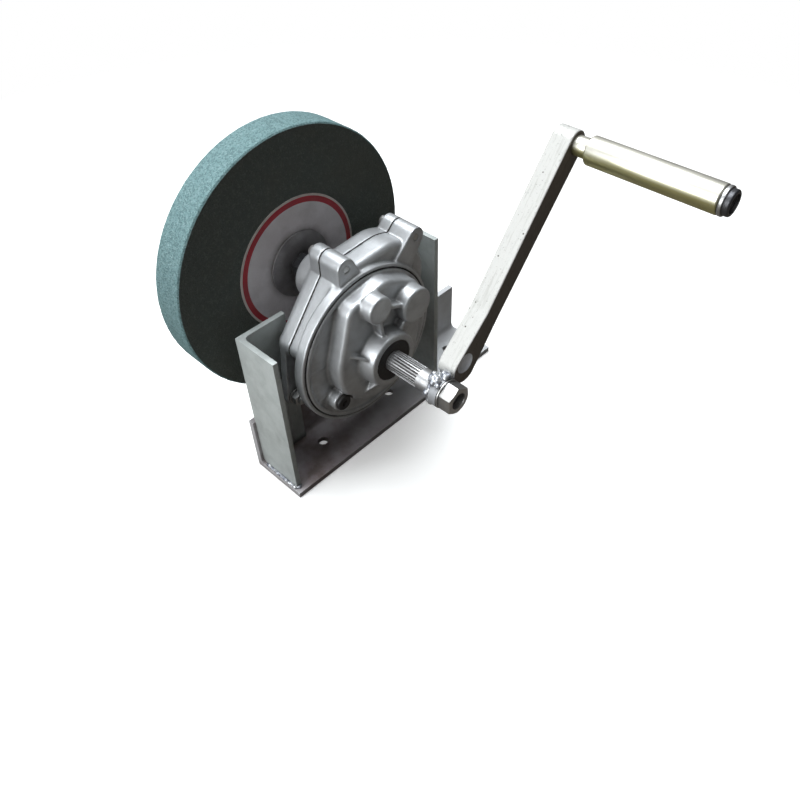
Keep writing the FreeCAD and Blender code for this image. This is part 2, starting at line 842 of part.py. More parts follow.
def bearing_balls(label, axis, starts, bore, outer, width, ball):
    """Every ball of the bearings on one shaft."""
    balls = [Part.makeSphere(float(ball), centre)
             for start in starts for centre in ball_centres(bore, outer, width, ball, start)]
    sub_part(shaped(label, Part.makeCompound(balls), axis[0], ORIGIN, axis[1]), label)


def bearing_cages(label, axis, starts, bore, outer, width, ball):
    """Thin rings between the lands, with a pocket round each ball."""
    pitch = (bore + outer) / 2
    cages = []
    for start in starts:
        middle = start + width / 2
        half = ball + S.cage_wall
        tube = local_rod(pitch + S.cage_wall, middle - half, middle + half)
        cage = tube.cut(local_rod(pitch - S.cage_wall, middle - half - S.overrun, middle + half + S.overrun))
        pockets = []
        for centre in ball_centres(bore, outer, width, ball, start):
            outwards = Vector(centre.x, 0, centre.z).normalize()
            foot = centre - outwards * float(ball)
            pockets.append(Part.makeCylinder(float(ball + S.cage_clearance), 2 * float(ball), foot,
                                             outwards))
        cages.append(cage.cut(pockets))
    sub_part(shaped(label, Part.makeCompound(cages), axis[0], ORIGIN, axis[1]), label)


def shaft_bearings(prefix, axis, starts, bore, outer, width, ball):
    """The bearings of one shaft: fixed outer rings, turning inner rings, balls and cages."""
    inner = []
    fixed = []
    for index, start in enumerate(starts):
        turning_ring, fixed_ring = bearing_rings(f"{prefix}_bearing_{index}", axis, bore, outer,
                                                 width, ball, start)
        inner.append(turning_ring)
        fixed.append(fixed_ring)
    plural = "s" if len(starts) > 1 else ""
    for rings, label in ((inner, f"{prefix}_bearing_inner_ring{plural}"),
                         (fixed, f"{prefix}_bearing_outer_ring{plural}")):
        if plural:
            group(label, rings)
        else:
            sub_part(rings[0], label)
    bearing_balls(f"{prefix}_bearing_balls", axis, starts, bore, outer, width, ball)
    bearing_cages(f"{prefix}_bearing_cage{plural}", axis, starts, bore, outer, width, ball)


def bearings():
    shaft_bearings("crank", CRANK_AXIS, (S.front_bearing_start, S.back_bearing_start),
                   S.crank_shaft_radius, S.crank_bearing_radius, S.crank_bearing_width,
                   S.crank_ball_radius)
    shaft_bearings("layshaft", LAYSHAFT_AXIS, (S.front_bearing_start, S.small_back_start),
                   S.small_shaft_radius, S.small_bearing_radius, S.small_bearing_width,
                   S.small_ball_radius)
    shaft_bearings("spindle", SPINDLE_AXIS, (S.spindle_bearing_start,),
                   S.spindle_shaft_radius, S.spindle_bearing_radius, S.spindle_bearing_width,
                   S.spindle_ball_radius)


# Casings

def casing_lobes():
    """The casings' outline: lobes round the axes, with an ear at each lower corner."""
    return [lobe(CRANK_AXIS, S.crank_lobe_radius), lobe(RIGHT_EAR, S.ear_radius),
            lobe(LAYSHAFT_AXIS, S.gear_lobe_radius), lobe(SPINDLE_AXIS, S.spindle_lobe_radius),
            lobe(LOW_EAR, S.ear_radius)]


def cavity_lobes():
    return [lobe(CRANK_AXIS, S.crank_lobe_radius - S.casing_wall),
            lobe(LAYSHAFT_AXIS, S.gear_lobe_radius - S.casing_wall),
            lobe(SPINDLE_AXIS, S.spindle_lobe_radius - S.casing_wall)]


def ear_webs(start, end):
    """Solid metal that joins the two upper ears to the lobes beside them."""
    radius = S.ear_web_radius
    return [hull([lobe(SPINDLE_AXIS, radius), lobe(TOP_EAR, S.ear_radius)], start, end),
            hull([lobe(LAYSHAFT_AXIS, radius), lobe(SIDE_EAR, S.ear_radius)], start, end)]


def ear_holes(start, end):
    radius = S.ear_screw_radius + S.fit_clearance
    return [rod(axis, radius, start, end) for axis in (TOP_EAR, SIDE_EAR, LOW_EAR, RIGHT_EAR)]


def cover_screw_places():
    return [at_angle(CRANK_AXIS, S.cover_screw_circle, angle) for angle in COVER_SCREW_ANGLES]


def front_casing():
    """The middle shell: a round rim for the cover in front, a web with bearing seats behind it."""
    body = round_end(hull(casing_lobes(), ORIGIN, SPLIT_FRONT), ORIGIN, S.casing_fillet)
    rim = rod(CRANK_AXIS, S.rim_radius, S.rim_front, S.web_thickness)
    shell = merged([body, rim] + ear_webs(S.ear_front, SPLIT_FRONT))
    shell = shell.cut(rod(CRANK_AXIS, RECESS_RADIUS, S.rim_front - S.overrun, ORIGIN))
    shell = shell.cut(hull(cavity_lobes(), S.web_thickness, SPLIT_FRONT + S.overrun))
    seat_end = BACK_BEARING_END + S.fit_clearance
    boss = rod(CRANK_AXIS, S.crank_boss_radius, S.web_thickness - S.overrun, seat_end + S.rear_wall)
    shell = merged([shell, boss])
    cuts = [rod(CRANK_AXIS, S.crank_bearing_radius, -S.overrun, seat_end),
            rod(LAYSHAFT_AXIS, S.pinion_passage, -S.overrun, S.web_thickness + S.overrun),
            rod(SPINDLE_AXIS, S.spindle_passage, -S.overrun, S.web_thickness + S.overrun)]
    cuts += ear_holes(S.ear_front - S.overrun, SPLIT_FRONT + S.overrun)[:2]
    cuts += ear_holes(S.low_screw_front - S.overrun, SPLIT_FRONT + S.overrun)[2:]
    radius = S.cover_screw_radius + S.fit_clearance
    cuts += [rod(spot, radius, -S.overrun, S.web_thickness + S.overrun)
             for spot in cover_screw_places()]
    sub_part(shaped("front_casing", shell.cut(cuts)), "front_casing")


def rear_casing():
    """The shell at the wheel side, with the spindle's boss and the lugs that meet the posts."""
    body = round_end(hull(casing_lobes(), SPLIT_REAR, S.rear_level), S.rear_level, S.casing_fillet)
    ears = [rod(axis, S.ear_radius, SPLIT_REAR, S.ear_rear) for axis in (TOP_EAR, SIDE_EAR)]
    low_ears = [rod(axis, S.ear_screw_head_radius + S.shaft_clearance, S.ear_rear, S.rear_level + S.overrun)
                for axis in (LOW_EAR, RIGHT_EAR)]
    shell = merged([body] + ears + ear_webs(SPLIT_REAR, S.ear_rear))
    shell = shell.cut(low_ears)
    shell = shell.cut(hull(cavity_lobes(), SPLIT_REAR - S.overrun, REAR_INSIDE))
    boss_start = S.spindle_bearing_start - S.fit_clearance
    spindle_boss = rod(SPINDLE_AXIS, S.spindle_boss_radius, boss_start, S.spindle_boss_end)
    additions = [round_end(spindle_boss, S.spindle_boss_end, S.boss_fillet),
                 rod(LAYSHAFT_AXIS, S.small_boss_radius, S.small_back_start, S.small_boss_end)]
    for ear, lug in ((LOW_EAR, LEFT_LUG), (RIGHT_EAR, RIGHT_LUG)):
        lobes = [lobe(ear, S.ear_radius), lobe(lug, S.pad_radius)]
        additions.append(hull(lobes, S.ear_rear - S.lug_thickness, S.ear_rear))
        additions.append(rod(lug, S.pad_radius, S.ear_rear - S.overrun, MOUNT_LEVEL))
    additions.append(rod(UPPER_PAD, S.pad_radius, S.rear_level - S.overrun, MOUNT_LEVEL))
    shell = merged([shell] + additions)
    seat_end = SPINDLE_BEARING_END + S.fit_clearance
    bolt = S.mount_bolt_radius + S.fit_clearance
    cuts = [rod(SPINDLE_AXIS, S.spindle_bearing_radius, SPLIT_REAR, seat_end),
            rod(SPINDLE_AXIS, S.spindle_seal_radius, seat_end - S.overrun, S.spindle_boss_end + S.overrun),
            rod(LAYSHAFT_AXIS, S.small_bearing_radius, SPLIT_REAR,
                SMALL_BACK_END + S.fit_clearance),
            rod(UPPER_PAD, bolt, MOUNT_LEVEL - S.blind_bolt_bite - S.overrun, MOUNT_LEVEL + S.overrun)]
    cuts += [rod(lug, bolt, SPLIT_REAR, MOUNT_LEVEL + S.overrun) for lug in (LEFT_LUG, RIGHT_LUG)]
    cuts += ear_holes(SPLIT_REAR - S.overrun, S.rear_level + S.overrun)
    sub_part(shaped("rear_casing", shell.cut(cuts)), "rear_casing")


def casing_gasket():
    """The thin gasket between the two shells, with their outline."""
    ears = [rod(axis, S.ear_radius, SPLIT_FRONT, SPLIT_REAR) for axis in (TOP_EAR, SIDE_EAR)]
    sheet_metal = merged([hull(casing_lobes(), SPLIT_FRONT, SPLIT_REAR)] + ears
                         + ear_webs(SPLIT_FRONT, SPLIT_REAR))
    sheet_metal = sheet_metal.cut(hull(cavity_lobes(), SPLIT_FRONT - S.overrun, SPLIT_REAR + S.overrun))
    solid = sheet_metal.cut(ear_holes(SPLIT_FRONT - S.overrun, SPLIT_REAR + S.overrun))
    sub_part(shaped("casing_gasket", solid), "casing_gasket")


def fin(angle):
    """A three-cornered rib from the seal boss down to the face of the dome."""
    inner = float(S.seal_boss_radius - S.overrun)
    outer = float(S.rib_reach)
    half = float(S.rib_thickness) / 2
    foot = float(S.dome_front + S.overrun)
    corners = [Vector(inner, foot, -half), Vector(outer, foot, -half),
               Vector(outer, float(S.dome_front), -half), Vector(inner, float(S.rib_front), -half)]
    solid = Part.Face(Part.makePolygon(corners + corners[:1])).extrude(Vector(0, 0, 2 * half))
    solid.rotate(Vector(0, 0, 0), Vector(0, 1, 0), -angle)
    solid.translate(Vector(float(CRANK_AXIS[0]), 0, float(CRANK_AXIS[1])))
    return solid


def low_rib(angle):
    """A faint rib on the low part of the cover's face."""
    half = float(S.low_rib_height) / 2
    start = at_angle(CRANK_AXIS, S.low_rib_start, angle)
    end = at_angle(CRANK_AXIS, S.low_rib_end, angle)
    return hull([lobe(start, half), lobe(end, half)], COVER_FACE - S.low_rib_height, COVER_FACE + S.overrun)


def dome_lobes(wall):
    """The raised part of the cover, as lobes, shrunk by a wall."""
    corner = (S.dome_corner_across, S.crank_height + S.dome_corner_rise)
    crown = (S.dome_crown_across, S.crank_height + S.dome_crown_rise)
    side = S.large_boss_radius + S.dome_side_margin
    return [lobe(CRANK_AXIS, S.dome_main_radius - wall), lobe(LAYSHAFT_AXIS, side - wall),
            lobe(crown, S.dome_crown_radius - wall), lobe(corner, S.dome_corner_radius - wall)]


def front_cover():
    """The round cover: a stepped disc, a raised dome over the gears and its bosses and ribs."""
    back = -S.gasket_thickness
    disc = rod(CRANK_AXIS, COVER_RADIUS, S.cover_front, back)
    disc = disc.cut(rod(CRANK_AXIS, COVER_RADIUS - S.lip_width, S.cover_front - S.overrun, COVER_FACE))
    dome = round_end(hull(dome_lobes(0), S.dome_front, COVER_FACE + S.overrun), S.dome_front, S.dome_fillet)
    foot = S.dome_front + S.overrun
    seal_boss = Part.makeCone(float(S.seal_boss_radius), float(S.seal_boss_radius + S.seal_boss_flare),
                              float(foot - S.seal_boss_front),
                              Vector(float(CRANK_AXIS[0]), float(S.seal_boss_front),
                                     float(CRANK_AXIS[1])), Vector(0, 1, 0))
    pieces = [disc, dome, round_end(seal_boss, S.seal_boss_front, S.boss_fillet)]
    for axis, radius, front in ((SPINDLE_AXIS, S.round_boss_radius, S.boss_front),
                                (LAYSHAFT_AXIS, S.large_boss_radius, S.boss_front)):
        pieces.append(round_end(rod(axis, radius, front, foot), front, S.boss_fillet))
    plug_boss = rod(PLUG_AXIS, S.plug_boss_radius, S.plug_boss_front, COVER_FACE + S.overrun)
    pieces.append(round_end(plug_boss, S.plug_boss_front, S.boss_fillet / 2))
    half_web = S.web_wall / 2
    for first, second in ((SPINDLE_AXIS, LAYSHAFT_AXIS), (LAYSHAFT_AXIS, CRANK_AXIS),
                          (SPINDLE_AXIS, CRANK_AXIS)):
        pieces.append(hull([lobe(first, half_web), lobe(second, half_web)], S.web_front, foot))
    pieces += [fin(angle) for angle in RIB_ANGLES]
    pieces += [low_rib(angle) for angle in LOW_RIB_ANGLES]
    solid = merged(pieces)
    solid = solid.cut(hull(dome_lobes(S.dome_wall), DOME_INSIDE, ORIGIN))
    step = S.front_bearing_start - S.fit_clearance
    bush_radius = S.small_shaft_radius + S.bush_wall + S.fit_clearance
    screw = S.cover_screw_radius + S.fit_clearance
    cuts = [rod(CRANK_AXIS, S.crank_bearing_radius, step, DOME_INSIDE + S.overrun),
            rod(CRANK_AXIS, S.seal_radius, S.seal_boss_front - S.overrun, step + S.overrun),
            rod(LAYSHAFT_AXIS, S.small_bearing_radius, step, DOME_INSIDE + S.overrun),
            rod(SPINDLE_AXIS, bush_radius, S.spindle_front - S.overrun, DOME_INSIDE + S.overrun),
            rod(SPINDLE_AXIS, S.small_shaft_radius + S.shaft_clearance, DOME_INSIDE - S.overrun, ORIGIN),
            rod(PLUG_AXIS, S.plug_boss_radius, S.dome_front - S.overrun, S.plug_boss_front),
            rod(PLUG_AXIS, S.plug_radius + S.fit_clearance, S.plug_boss_front - S.overrun, S.overrun)]
    cuts += [rod(spot, screw, back - S.cover_screw_bite - S.fit_clearance, S.overrun)
             for spot in cover_screw_places()]
    sub_part(shaped("front_cover", solid.cut(cuts)), "front_cover")


def cover_gasket():
    """A flat ring behind the cover with a bead that fills the gap round its edge."""
    outer = RECESS_RADIUS - S.fit_clearance
    bead_front = S.cover_front + S.bead_depth + S.cover_step
    bead = rod(CRANK_AXIS, outer, bead_front, ORIGIN)
    bead = bead.cut(rod(CRANK_AXIS, COVER_RADIUS + S.fit_clearance, bead_front - S.overrun,
                        -S.gasket_thickness))
    bead = bead.cut(rod(CRANK_AXIS, S.gasket_inner_radius, -S.gasket_thickness - S.overrun,
                        S.overrun))
    radius = S.cover_screw_radius + S.fit_clearance
    solid = bead.cut([rod(spot, radius, -S.overrun, S.overrun) for spot in cover_screw_places()])
    sub_part(shaped("cover_gasket", solid), "cover_gasket")


def seals_and_bush():
    """Lip seals at the crank and at the spindle, and the plain bush at the spindle's front end."""
    seal_start = S.front_bearing_start - S.fit_clearance - S.seal_width
    seal = ring("crank_seal", CRANK_AXIS, S.crank_shaft_radius + S.fit_clearance,
                S.seal_radius - S.fit_clearance, seal_start, seal_start + S.seal_width)
    sub_part(seal, "crank_seal")
    start = S.spindle_boss_end - S.spindle_seal_width
    rear = ring("spindle_seal", SPINDLE_AXIS, S.spindle_shaft_radius + S.fit_clearance,
                S.spindle_seal_radius - S.fit_clearance, start, S.spindle_boss_end)
    sub_part(rear, "spindle_seal")
    bush = ring("spindle_bush", SPINDLE_AXIS, S.small_shaft_radius + S.fit_clearance,
                S.small_shaft_radius + S.bush_wall, S.bush_start, S.bush_start + S.bush_length)
    sub_part(bush, "spindle_bush")


# Crank

def spline_teeth():
    """The straight ridges round the crank shaft's splined stretch."""
    count = round(float(S.spline_count))
    outer = float(S.crank_shaft_radius)
    inner = outer - float(S.spline_depth)
    step = 360 / count
    corners = []
    for index in range(count):
        for radius, share in ((inner, 0.0), (inner, SPLINE_ROOT), (outer, SPLINE_RISE), (outer, SPLINE_FALL)):
            x, z = at_angle((0, 0), radius, step * (index + share))
            corners.append(Vector(x, float(S.spline_front), z))
    face = Part.Face(Part.makePolygon(corners + corners[:1]))
    return face.extrude(Vector(0, float(S.seal_boss_front - S.spline_front), 0))


def crank_shaft():
    """The crank's shaft: thread, arm seat, spline, bearing seats, collar and gear seat."""
    radius = S.crank_shaft_radius
    core = radius - S.spline_depth - S.fit_clearance
    collar_front = S.front_bearing_start + S.crank_bearing_width + S.fit_clearance
    end = BACK_BEARING_END - S.fit_clearance
    outline = [(ORIGIN, S.crank_end), (S.thread_radius - S.end_chamfer, S.crank_end),
               (S.thread_radius, S.crank_end + S.end_chamfer), (S.thread_radius, HUB_BACK + S.fit_clearance),
               (radius, HUB_BACK + S.fit_clearance), (radius, S.spline_front), (core, S.spline_front),
               (core, S.seal_boss_front), (radius, S.seal_boss_front), (radius, collar_front),
               (S.gear_collar_radius, collar_front),
               (S.gear_collar_radius, S.first_pair_start - S.fit_clearance),
               (radius, S.first_pair_start - S.fit_clearance), (radius, end - S.end_chamfer),
               (radius - S.end_chamfer, end),
               (ORIGIN, end)]
    core_body = turned("crank_shaft_core", CRANK_AXIS, outline)
    spline = shaped("crank_spline", spline_teeth(), CRANK_AXIS[0], ORIGIN, CRANK_AXIS[1])
    blank = boolean("Fuse", "crank_shaft_blank", core_body, spline)
    slot = shaped("crank_key_slot", key_slot(radius, S.first_pair_start, FIRST_PAIR_END),
                  CRANK_AXIS[0], ORIGIN, CRANK_AXIS[1])
    sub_part(boolean("Cut", "crank_shaft", blank, slot), "crank_shaft")


def circlip(label, axis, radius, start):
    """A split ring that keeps a gear on its shaft."""
    band = local_rod(radius + S.circlip_height, start, start + S.circlip_width)
    band = band.cut(local_rod(radius + S.fit_clearance, start - S.overrun,
                              start + S.circlip_width + S.overrun))
    half = math.radians(float(S.circlip_gap) / 2)
    reach = WEDGE_REACH * float(radius)
    wedge = [Vector(0, float(start) - float(S.overrun), 0),
             Vector(reach * math.sin(half), float(start) - float(S.overrun), -reach * math.cos(half)),
             Vector(-reach * math.sin(half), float(start) - float(S.overrun), -reach * math.cos(half))]
    gap = Part.Face(Part.makePolygon(wedge + wedge[:1])).extrude(
        Vector(0, float(S.circlip_width + 2 * S.overrun), 0))
    sub_part(shaped(label, band.cut(gap), axis[0], ORIGIN, axis[1]), label)


def crank_arm():
    """A bar that tapers from a scooped foot beside the hub to an eye that holds the grip bolt."""
    foot = lobe(ARM_FOOT, S.arm_foot_radius)
    waist = lobe(ARM_WAIST, S.arm_waist_radius)
    bar = merged([hull([foot, waist], S.arm_front, ARM_BACK),
                  hull([waist, lobe(GRIP_AXIS, S.arm_eye_radius)], S.arm_front, ARM_BACK)])
    bar = round_end(round_end(bar, S.arm_front, S.arm_edge), ARM_BACK, S.arm_edge)
    bar = bar.cut(rod(CRANK_AXIS, S.arm_hub_radius, HUB_BACK, ARM_BACK + S.overrun))
    hub = rod(CRANK_AXIS, S.arm_hub_radius, S.arm_front, HUB_BACK)
    arm = merged([bar, hub])
    radius = float(S.scoop_radius)
    centre = Vector(float(S.scoop_across), float(S.arm_front + S.scoop_depth) - radius,
                    float(S.crank_height + S.scoop_rise))
    arm = arm.cut([Part.makeSphere(radius, centre, Vector(0, 1, 0)),
                   rod(CRANK_AXIS, S.thread_radius + S.fit_clearance, S.arm_front - S.overrun,
                       HUB_BACK + S.overrun),
                   rod(GRIP_AXIS, S.grip_bolt_radius + S.fit_clearance, S.arm_front - S.overrun,
                       ARM_BACK + S.overrun)])
    sub_part(shaped("crank_arm", arm), "crank_arm")


def hub_weld():
    """The bead that joins the arm's hub to the shaft's shoulder."""
    inner = S.crank_shaft_radius + S.fit_clearance
    start = HUB_BACK + S.fit_clearance
    belly = start + S.hub_weld_leg * S.hub_weld_belly
    bead = turned("hub_weld", CRANK_AXIS, [(inner, start), (inner + S.hub_weld_leg, start),
                                           (inner + S.hub_weld_leg / 2, belly),
                                           (inner, start + S.hub_weld_leg)])
    sub_part(bead, "hub_weld")


def crank_fastening():
    """The washer and the nut on the shaft's threaded end."""
    bore = S.thread_radius + S.fit_clearance
    washer_front = S.arm_front - S.washer_thickness
    washer = ring("crank_washer", CRANK_AXIS, bore, S.washer_radius, washer_front, S.arm_front)
    sub_part(washer, "crank_washer")
    piece = nut("crank_nut", CRANK_AXIS, S.nut_across_flats, bore,
                washer_front - S.crank_nut_height, S.crank_nut_height)
    sub_part(piece, "crank_nut")


def grip():
    """A bolt through the arm's eye, with a collar, the turning sleeve, a washer and its head."""
    bolt = S.grip_bolt_radius
    fit = S.fit_clearance
    head_start = GRIP_WASHER_END
    recess_end = GRIP_HEAD_END + S.grip_recess_depth
    stem = turned("grip_bolt_stem", GRIP_AXIS,
                  [(ORIGIN, recess_end), (S.grip_recess_radius, recess_end),
                   (S.grip_recess_radius, GRIP_HEAD_END),
                   (S.grip_head_radius - S.end_chamfer, GRIP_HEAD_END),
                   (S.grip_head_radius, GRIP_HEAD_END + S.end_chamfer), (S.grip_head_radius, head_start),
                   (bolt, head_start), (bolt, ARM_BACK), (ORIGIN, ARM_BACK)])
    socket = hexagon("grip_socket", GRIP_AXIS, S.grip_socket_flats, recess_end - S.overrun,
                     S.grip_socket_depth + S.overrun)
    sub_part(boolean("Cut", "grip_bolt", stem, socket), "grip_bolt")
    collar = ring("grip_collar", GRIP_AXIS, bolt + fit, S.grip_collar_radius,
                  S.arm_front - S.grip_collar_length, S.arm_front)
    sub_part(collar, "grip_collar")
    edge = S.grip_edge
    sleeve = turned("grip_sleeve", GRIP_AXIS,
                    [(bolt + fit, GRIP_END), (S.grip_radius - edge, GRIP_END),
                     (S.grip_radius, GRIP_END + edge), (S.grip_radius, GRIP_START - edge),
                     (S.grip_radius - edge, GRIP_START), (bolt + fit, GRIP_START),
                     (bolt + fit, GRIP_START - S.grip_journal),
                     (S.grip_relief_radius, GRIP_START - S.grip_journal),
                     (S.grip_relief_radius, GRIP_END + S.grip_journal),
                     (bolt + fit, GRIP_END + S.grip_journal)])
    sub_part(sleeve, "grip_sleeve")
    washer = ring("grip_washer", GRIP_AXIS, bolt + fit, S.grip_washer_radius, GRIP_WASHER_END,
                  GRIP_WASHER_END + S.grip_washer_thickness)
    sub_part(washer, "grip_washer")


def crank():
    crank_shaft()
    keyed_gear("crank_gear", CRANK_AXIS, S.crank_teeth, CRANK_PHASE, S.crank_shaft_radius,
               S.first_pair_start, S.first_pair_face)
    key("crank_key", CRANK_AXIS, S.crank_shaft_radius, S.first_pair_start, S.first_pair_face)
    circlip("crank_circlip", CRANK_AXIS, S.crank_shaft_radius, FIRST_PAIR_END + S.fit_clearance)
    crank_arm()
    hub_weld()
    crank_fastening()
    grip()


# Layshaft

def gear_seat_radius():
    return S.small_shaft_radius + S.bush_wall


def pinion_root(teeth):
    return teeth * S.gear_module / 2 - S.root_share * S.gear_module


def layshaft():
    """The layshaft with the first pair's pinion cut on it and a seat for the second pair's gear."""
    bearing = S.small_shaft_radius
    seat = gear_seat_radius()
    core = pinion_root(S.first_pinion_teeth) - S.fit_clearance
    front = S.front_bearing_start
    shoulder = front + S.small_bearing_width + S.fit_clearance
    spacer_start = SECOND_PAIR_END + S.fit_clearance
    outline = [(ORIGIN, front), (bearing, front), (bearing, shoulder), (core, shoulder),
               (core, S.second_pair_start - S.fit_clearance),
               (seat, S.second_pair_start - S.fit_clearance), (seat, spacer_start),
               (bearing, spacer_start), (bearing, SMALL_BACK_END - S.end_chamfer),
               (bearing - S.end_chamfer, SMALL_BACK_END),
               (ORIGIN, SMALL_BACK_END)]
    core_body = turned("layshaft_core", LAYSHAFT_AXIS, outline)
    teeth = gear_blank(S.first_pinion_teeth, FIRST_PINION_PHASE,
                       S.first_pair_start - S.pinion_overhang,
                       S.first_pair_face + 2 * S.pinion_overhang)
    pinion = shaped("layshaft_pinion", teeth, LAYSHAFT_AXIS[0], ORIGIN, LAYSHAFT_AXIS[1])
    blank = boolean("Fuse", "layshaft_blank", core_body, pinion)
    slot = shaped("layshaft_key_slot", key_slot(seat, S.second_pair_start, SECOND_PAIR_END),
                  LAYSHAFT_AXIS[0], ORIGIN, LAYSHAFT_AXIS[1])
    sub_part(boolean("Cut", "layshaft", blank, slot), "layshaft")


def layshaft_group():
    layshaft()
    keyed_gear("layshaft_gear", LAYSHAFT_AXIS, S.second_gear_teeth, SECOND_GEAR_PHASE,
               gear_seat_radius(), S.second_pair_start, S.second_pair_face)
    key("layshaft_key", LAYSHAFT_AXIS, gear_seat_radius(), S.second_pair_start, S.second_pair_face)
    spacer = ring("layshaft_spacer", LAYSHAFT_AXIS, S.small_shaft_radius + S.fit_clearance,
                  gear_seat_radius() + S.shaft_clearance, SECOND_PAIR_END + 2 * S.fit_clearance,
                  S.small_back_start - S.fit_clearance)
    sub_part(spacer, "layshaft_spacer")


# Wheel spindle

def spindle():
    """The spindle: bush journal, passage, its own pinion, bearing seat and the wheel's thread."""
    journal = S.small_shaft_radius
    passage = gear_seat_radius()
    pinion_start = S.second_pair_start - S.pinion_overhang
    pinion_end = SECOND_PAIR_END + S.pinion_overhang
    shoulder = pinion_root(S.spindle_teeth) - S.fit_clearance
    bearing = S.spindle_shaft_radius
    thread = S.spindle_thread_radius
    tail = OUTER_FLANGE_BACK + S.nut_height + S.spindle_tail
    outline = [(ORIGIN, S.spindle_front), (journal, S.spindle_front),
               (journal, ORIGIN), (passage, ORIGIN), (passage, pinion_start),
               (shoulder, pinion_start), (shoulder, pinion_end),
               (bearing, pinion_end), (bearing, S.spindle_boss_end),
               (thread, S.spindle_boss_end), (thread, tail - S.end_chamfer),
               (thread - S.end_chamfer, tail), (ORIGIN, tail)]
    core_body = turned("spindle_core", SPINDLE_AXIS, outline)
    teeth = gear_blank(S.spindle_teeth, SPINDLE_PHASE, pinion_start,
                       S.second_pair_face + 2 * S.pinion_overhang)
    pinion = shaped("spindle_pinion", teeth, SPINDLE_AXIS[0], ORIGIN, SPINDLE_AXIS[1])
    sub_part(boolean("Fuse", "spindle", core_body, pinion), "spindle")


def wheel():
    """The grinding wheel, its steel bush and the paper label on each side."""
    edge = S.wheel_edge
    bore = S.wheel_bore
    radius = S.wheel_radius
    stone = turned("grinding_wheel", SPINDLE_AXIS,
                   [(bore, S.wheel_front), (radius - edge, S.wheel_front),
                    (radius, S.wheel_front + edge), (radius, WHEEL_BACK - edge),
                    (radius - edge, WHEEL_BACK), (bore, WHEEL_BACK)])
    sub_part(stone, "grinding_wheel")
    bush = ring("wheel_bush", SPINDLE_AXIS, S.spindle_thread_radius + S.fit_clearance,
                bore - S.fit_clearance, S.wheel_front, WHEEL_BACK)
    sub_part(bush, "wheel_bush")
    for label, start, end in (("front_wheel_label", LABEL_FRONT, S.wheel_front),
                              ("rear_wheel_label", WHEEL_BACK, LABEL_BACK)):
        sub_part(ring(label, SPINDLE_AXIS, bore, S.label_radius, start, end), label)


def flange(label, face, direction):
    """A clamping flange: relieved in the middle so that it grips at its rim."""
    back = face + direction * S.flange_thickness
    relief = face + direction * S.flange_relief
    step = face + direction * S.flange_thickness * S.flange_step_share
    inner = S.spindle_thread_radius + S.fit_clearance
    outline = [(inner, relief), (S.flange_radius - S.flange_rim, relief),
               (S.flange_radius - S.flange_rim, face), (S.flange_radius, face),
               (S.flange_radius, step), (S.flange_hub_radius, back), (inner, back)]
    sub_part(turned(label, SPINDLE_AXIS, outline), label)


def spindle_group():
    spindle()
    wheel()
    flange("inner_flange", LABEL_FRONT, -1)
    flange("outer_flange", LABEL_BACK, 1)
    bore = S.spindle_thread_radius + S.fit_clearance
    inner = nut("inner_nut", SPINDLE_AXIS, S.nut_across_flats, bore,
                S.spindle_boss_end + S.grip_end_play,
                INNER_FLANGE_FRONT - S.spindle_boss_end - S.grip_end_play)
    sub_part(inner, "inner_nut")
    outer = nut("outer_nut", SPINDLE_AXIS, S.nut_across_flats, bore, OUTER_FLANGE_BACK, S.nut_height)
    sub_part(outer, "outer_nut")


# Fasteners

def socket_screw(name, axis, radius, tip, seat, head_radius, head):
    """A screw along Y: its tip is in front, its round head with a hexagon socket behind."""
    end = seat + head
    body = turned(name + "_stem", axis, [(ORIGIN, tip), (radius, tip), (radius, seat),
                                         (head_radius, seat), (head_radius, end - radius / 5),
                                         (head_radius - radius / 5, end), (ORIGIN, end)])
    socket = hexagon(name + "_socket", axis, head_radius * 2 * S.socket_share, end - head / 2,
                     head / 2 + S.overrun)
    return boolean("Cut", name, body, socket)


def casing_screws():
    members = []
    for index, (axis, tip) in enumerate(((TOP_EAR, S.ear_front + S.ear_screw_recess),
                                         (SIDE_EAR, S.ear_front + S.ear_screw_recess),
                                         (LOW_EAR, S.low_screw_front),
                                         (RIGHT_EAR, S.low_screw_front))):
        members.append(socket_screw(f"casing_screw_{index}", axis, S.ear_screw_radius, tip,
                                    S.ear_rear, S.ear_screw_head_radius, S.ear_screw_head))
    group("casing_screws", members)


def cover_screws():
    tip = -S.gasket_thickness - S.cover_screw_bite
    members = []
    for index, (across, up) in enumerate(cover_screw_places()):
        members.append(socket_screw(f"cover_screw_{index}", (as_size(across), as_size(up)),
                                    S.cover_screw_radius, tip, S.web_thickness,
                                    S.cover_screw_head_radius, S.cover_screw_head))
    group("cover_screws", members)


def filler_plug():
    """The black plug in the cover's small boss."""
    seat = S.plug_boss_front
    front = seat - S.plug_head
    stem = turned("filler_plug_stem", PLUG_AXIS,
                  [(ORIGIN, front), (S.plug_head_radius - S.end_chamfer, front),
                   (S.plug_head_radius, front + S.end_chamfer),
                   (S.plug_head_radius, seat), (S.plug_radius, seat),
                   (S.plug_radius, seat + S.plug_length), (ORIGIN, seat + S.plug_length)])
    socket = hexagon("filler_plug_socket", PLUG_AXIS, S.plug_socket_flats, front - S.overrun,
                     S.plug_socket_depth + S.overrun)
    sub_part(boolean("Cut", "filler_plug", stem, socket), "filler_plug")


def hex_bolt(name, axis, tip, seat):
    """A mounting bolt: its head behind the post, its tip towards the crank."""
    stem = ring_tool(name + "_shank", axis, S.mount_bolt_radius, tip, seat + S.overrun)
    head = chamfered_hexagon(name, axis, S.mount_bolt_flats, seat, S.mount_bolt_head)
    return boolean("Fuse", name, stem, head)


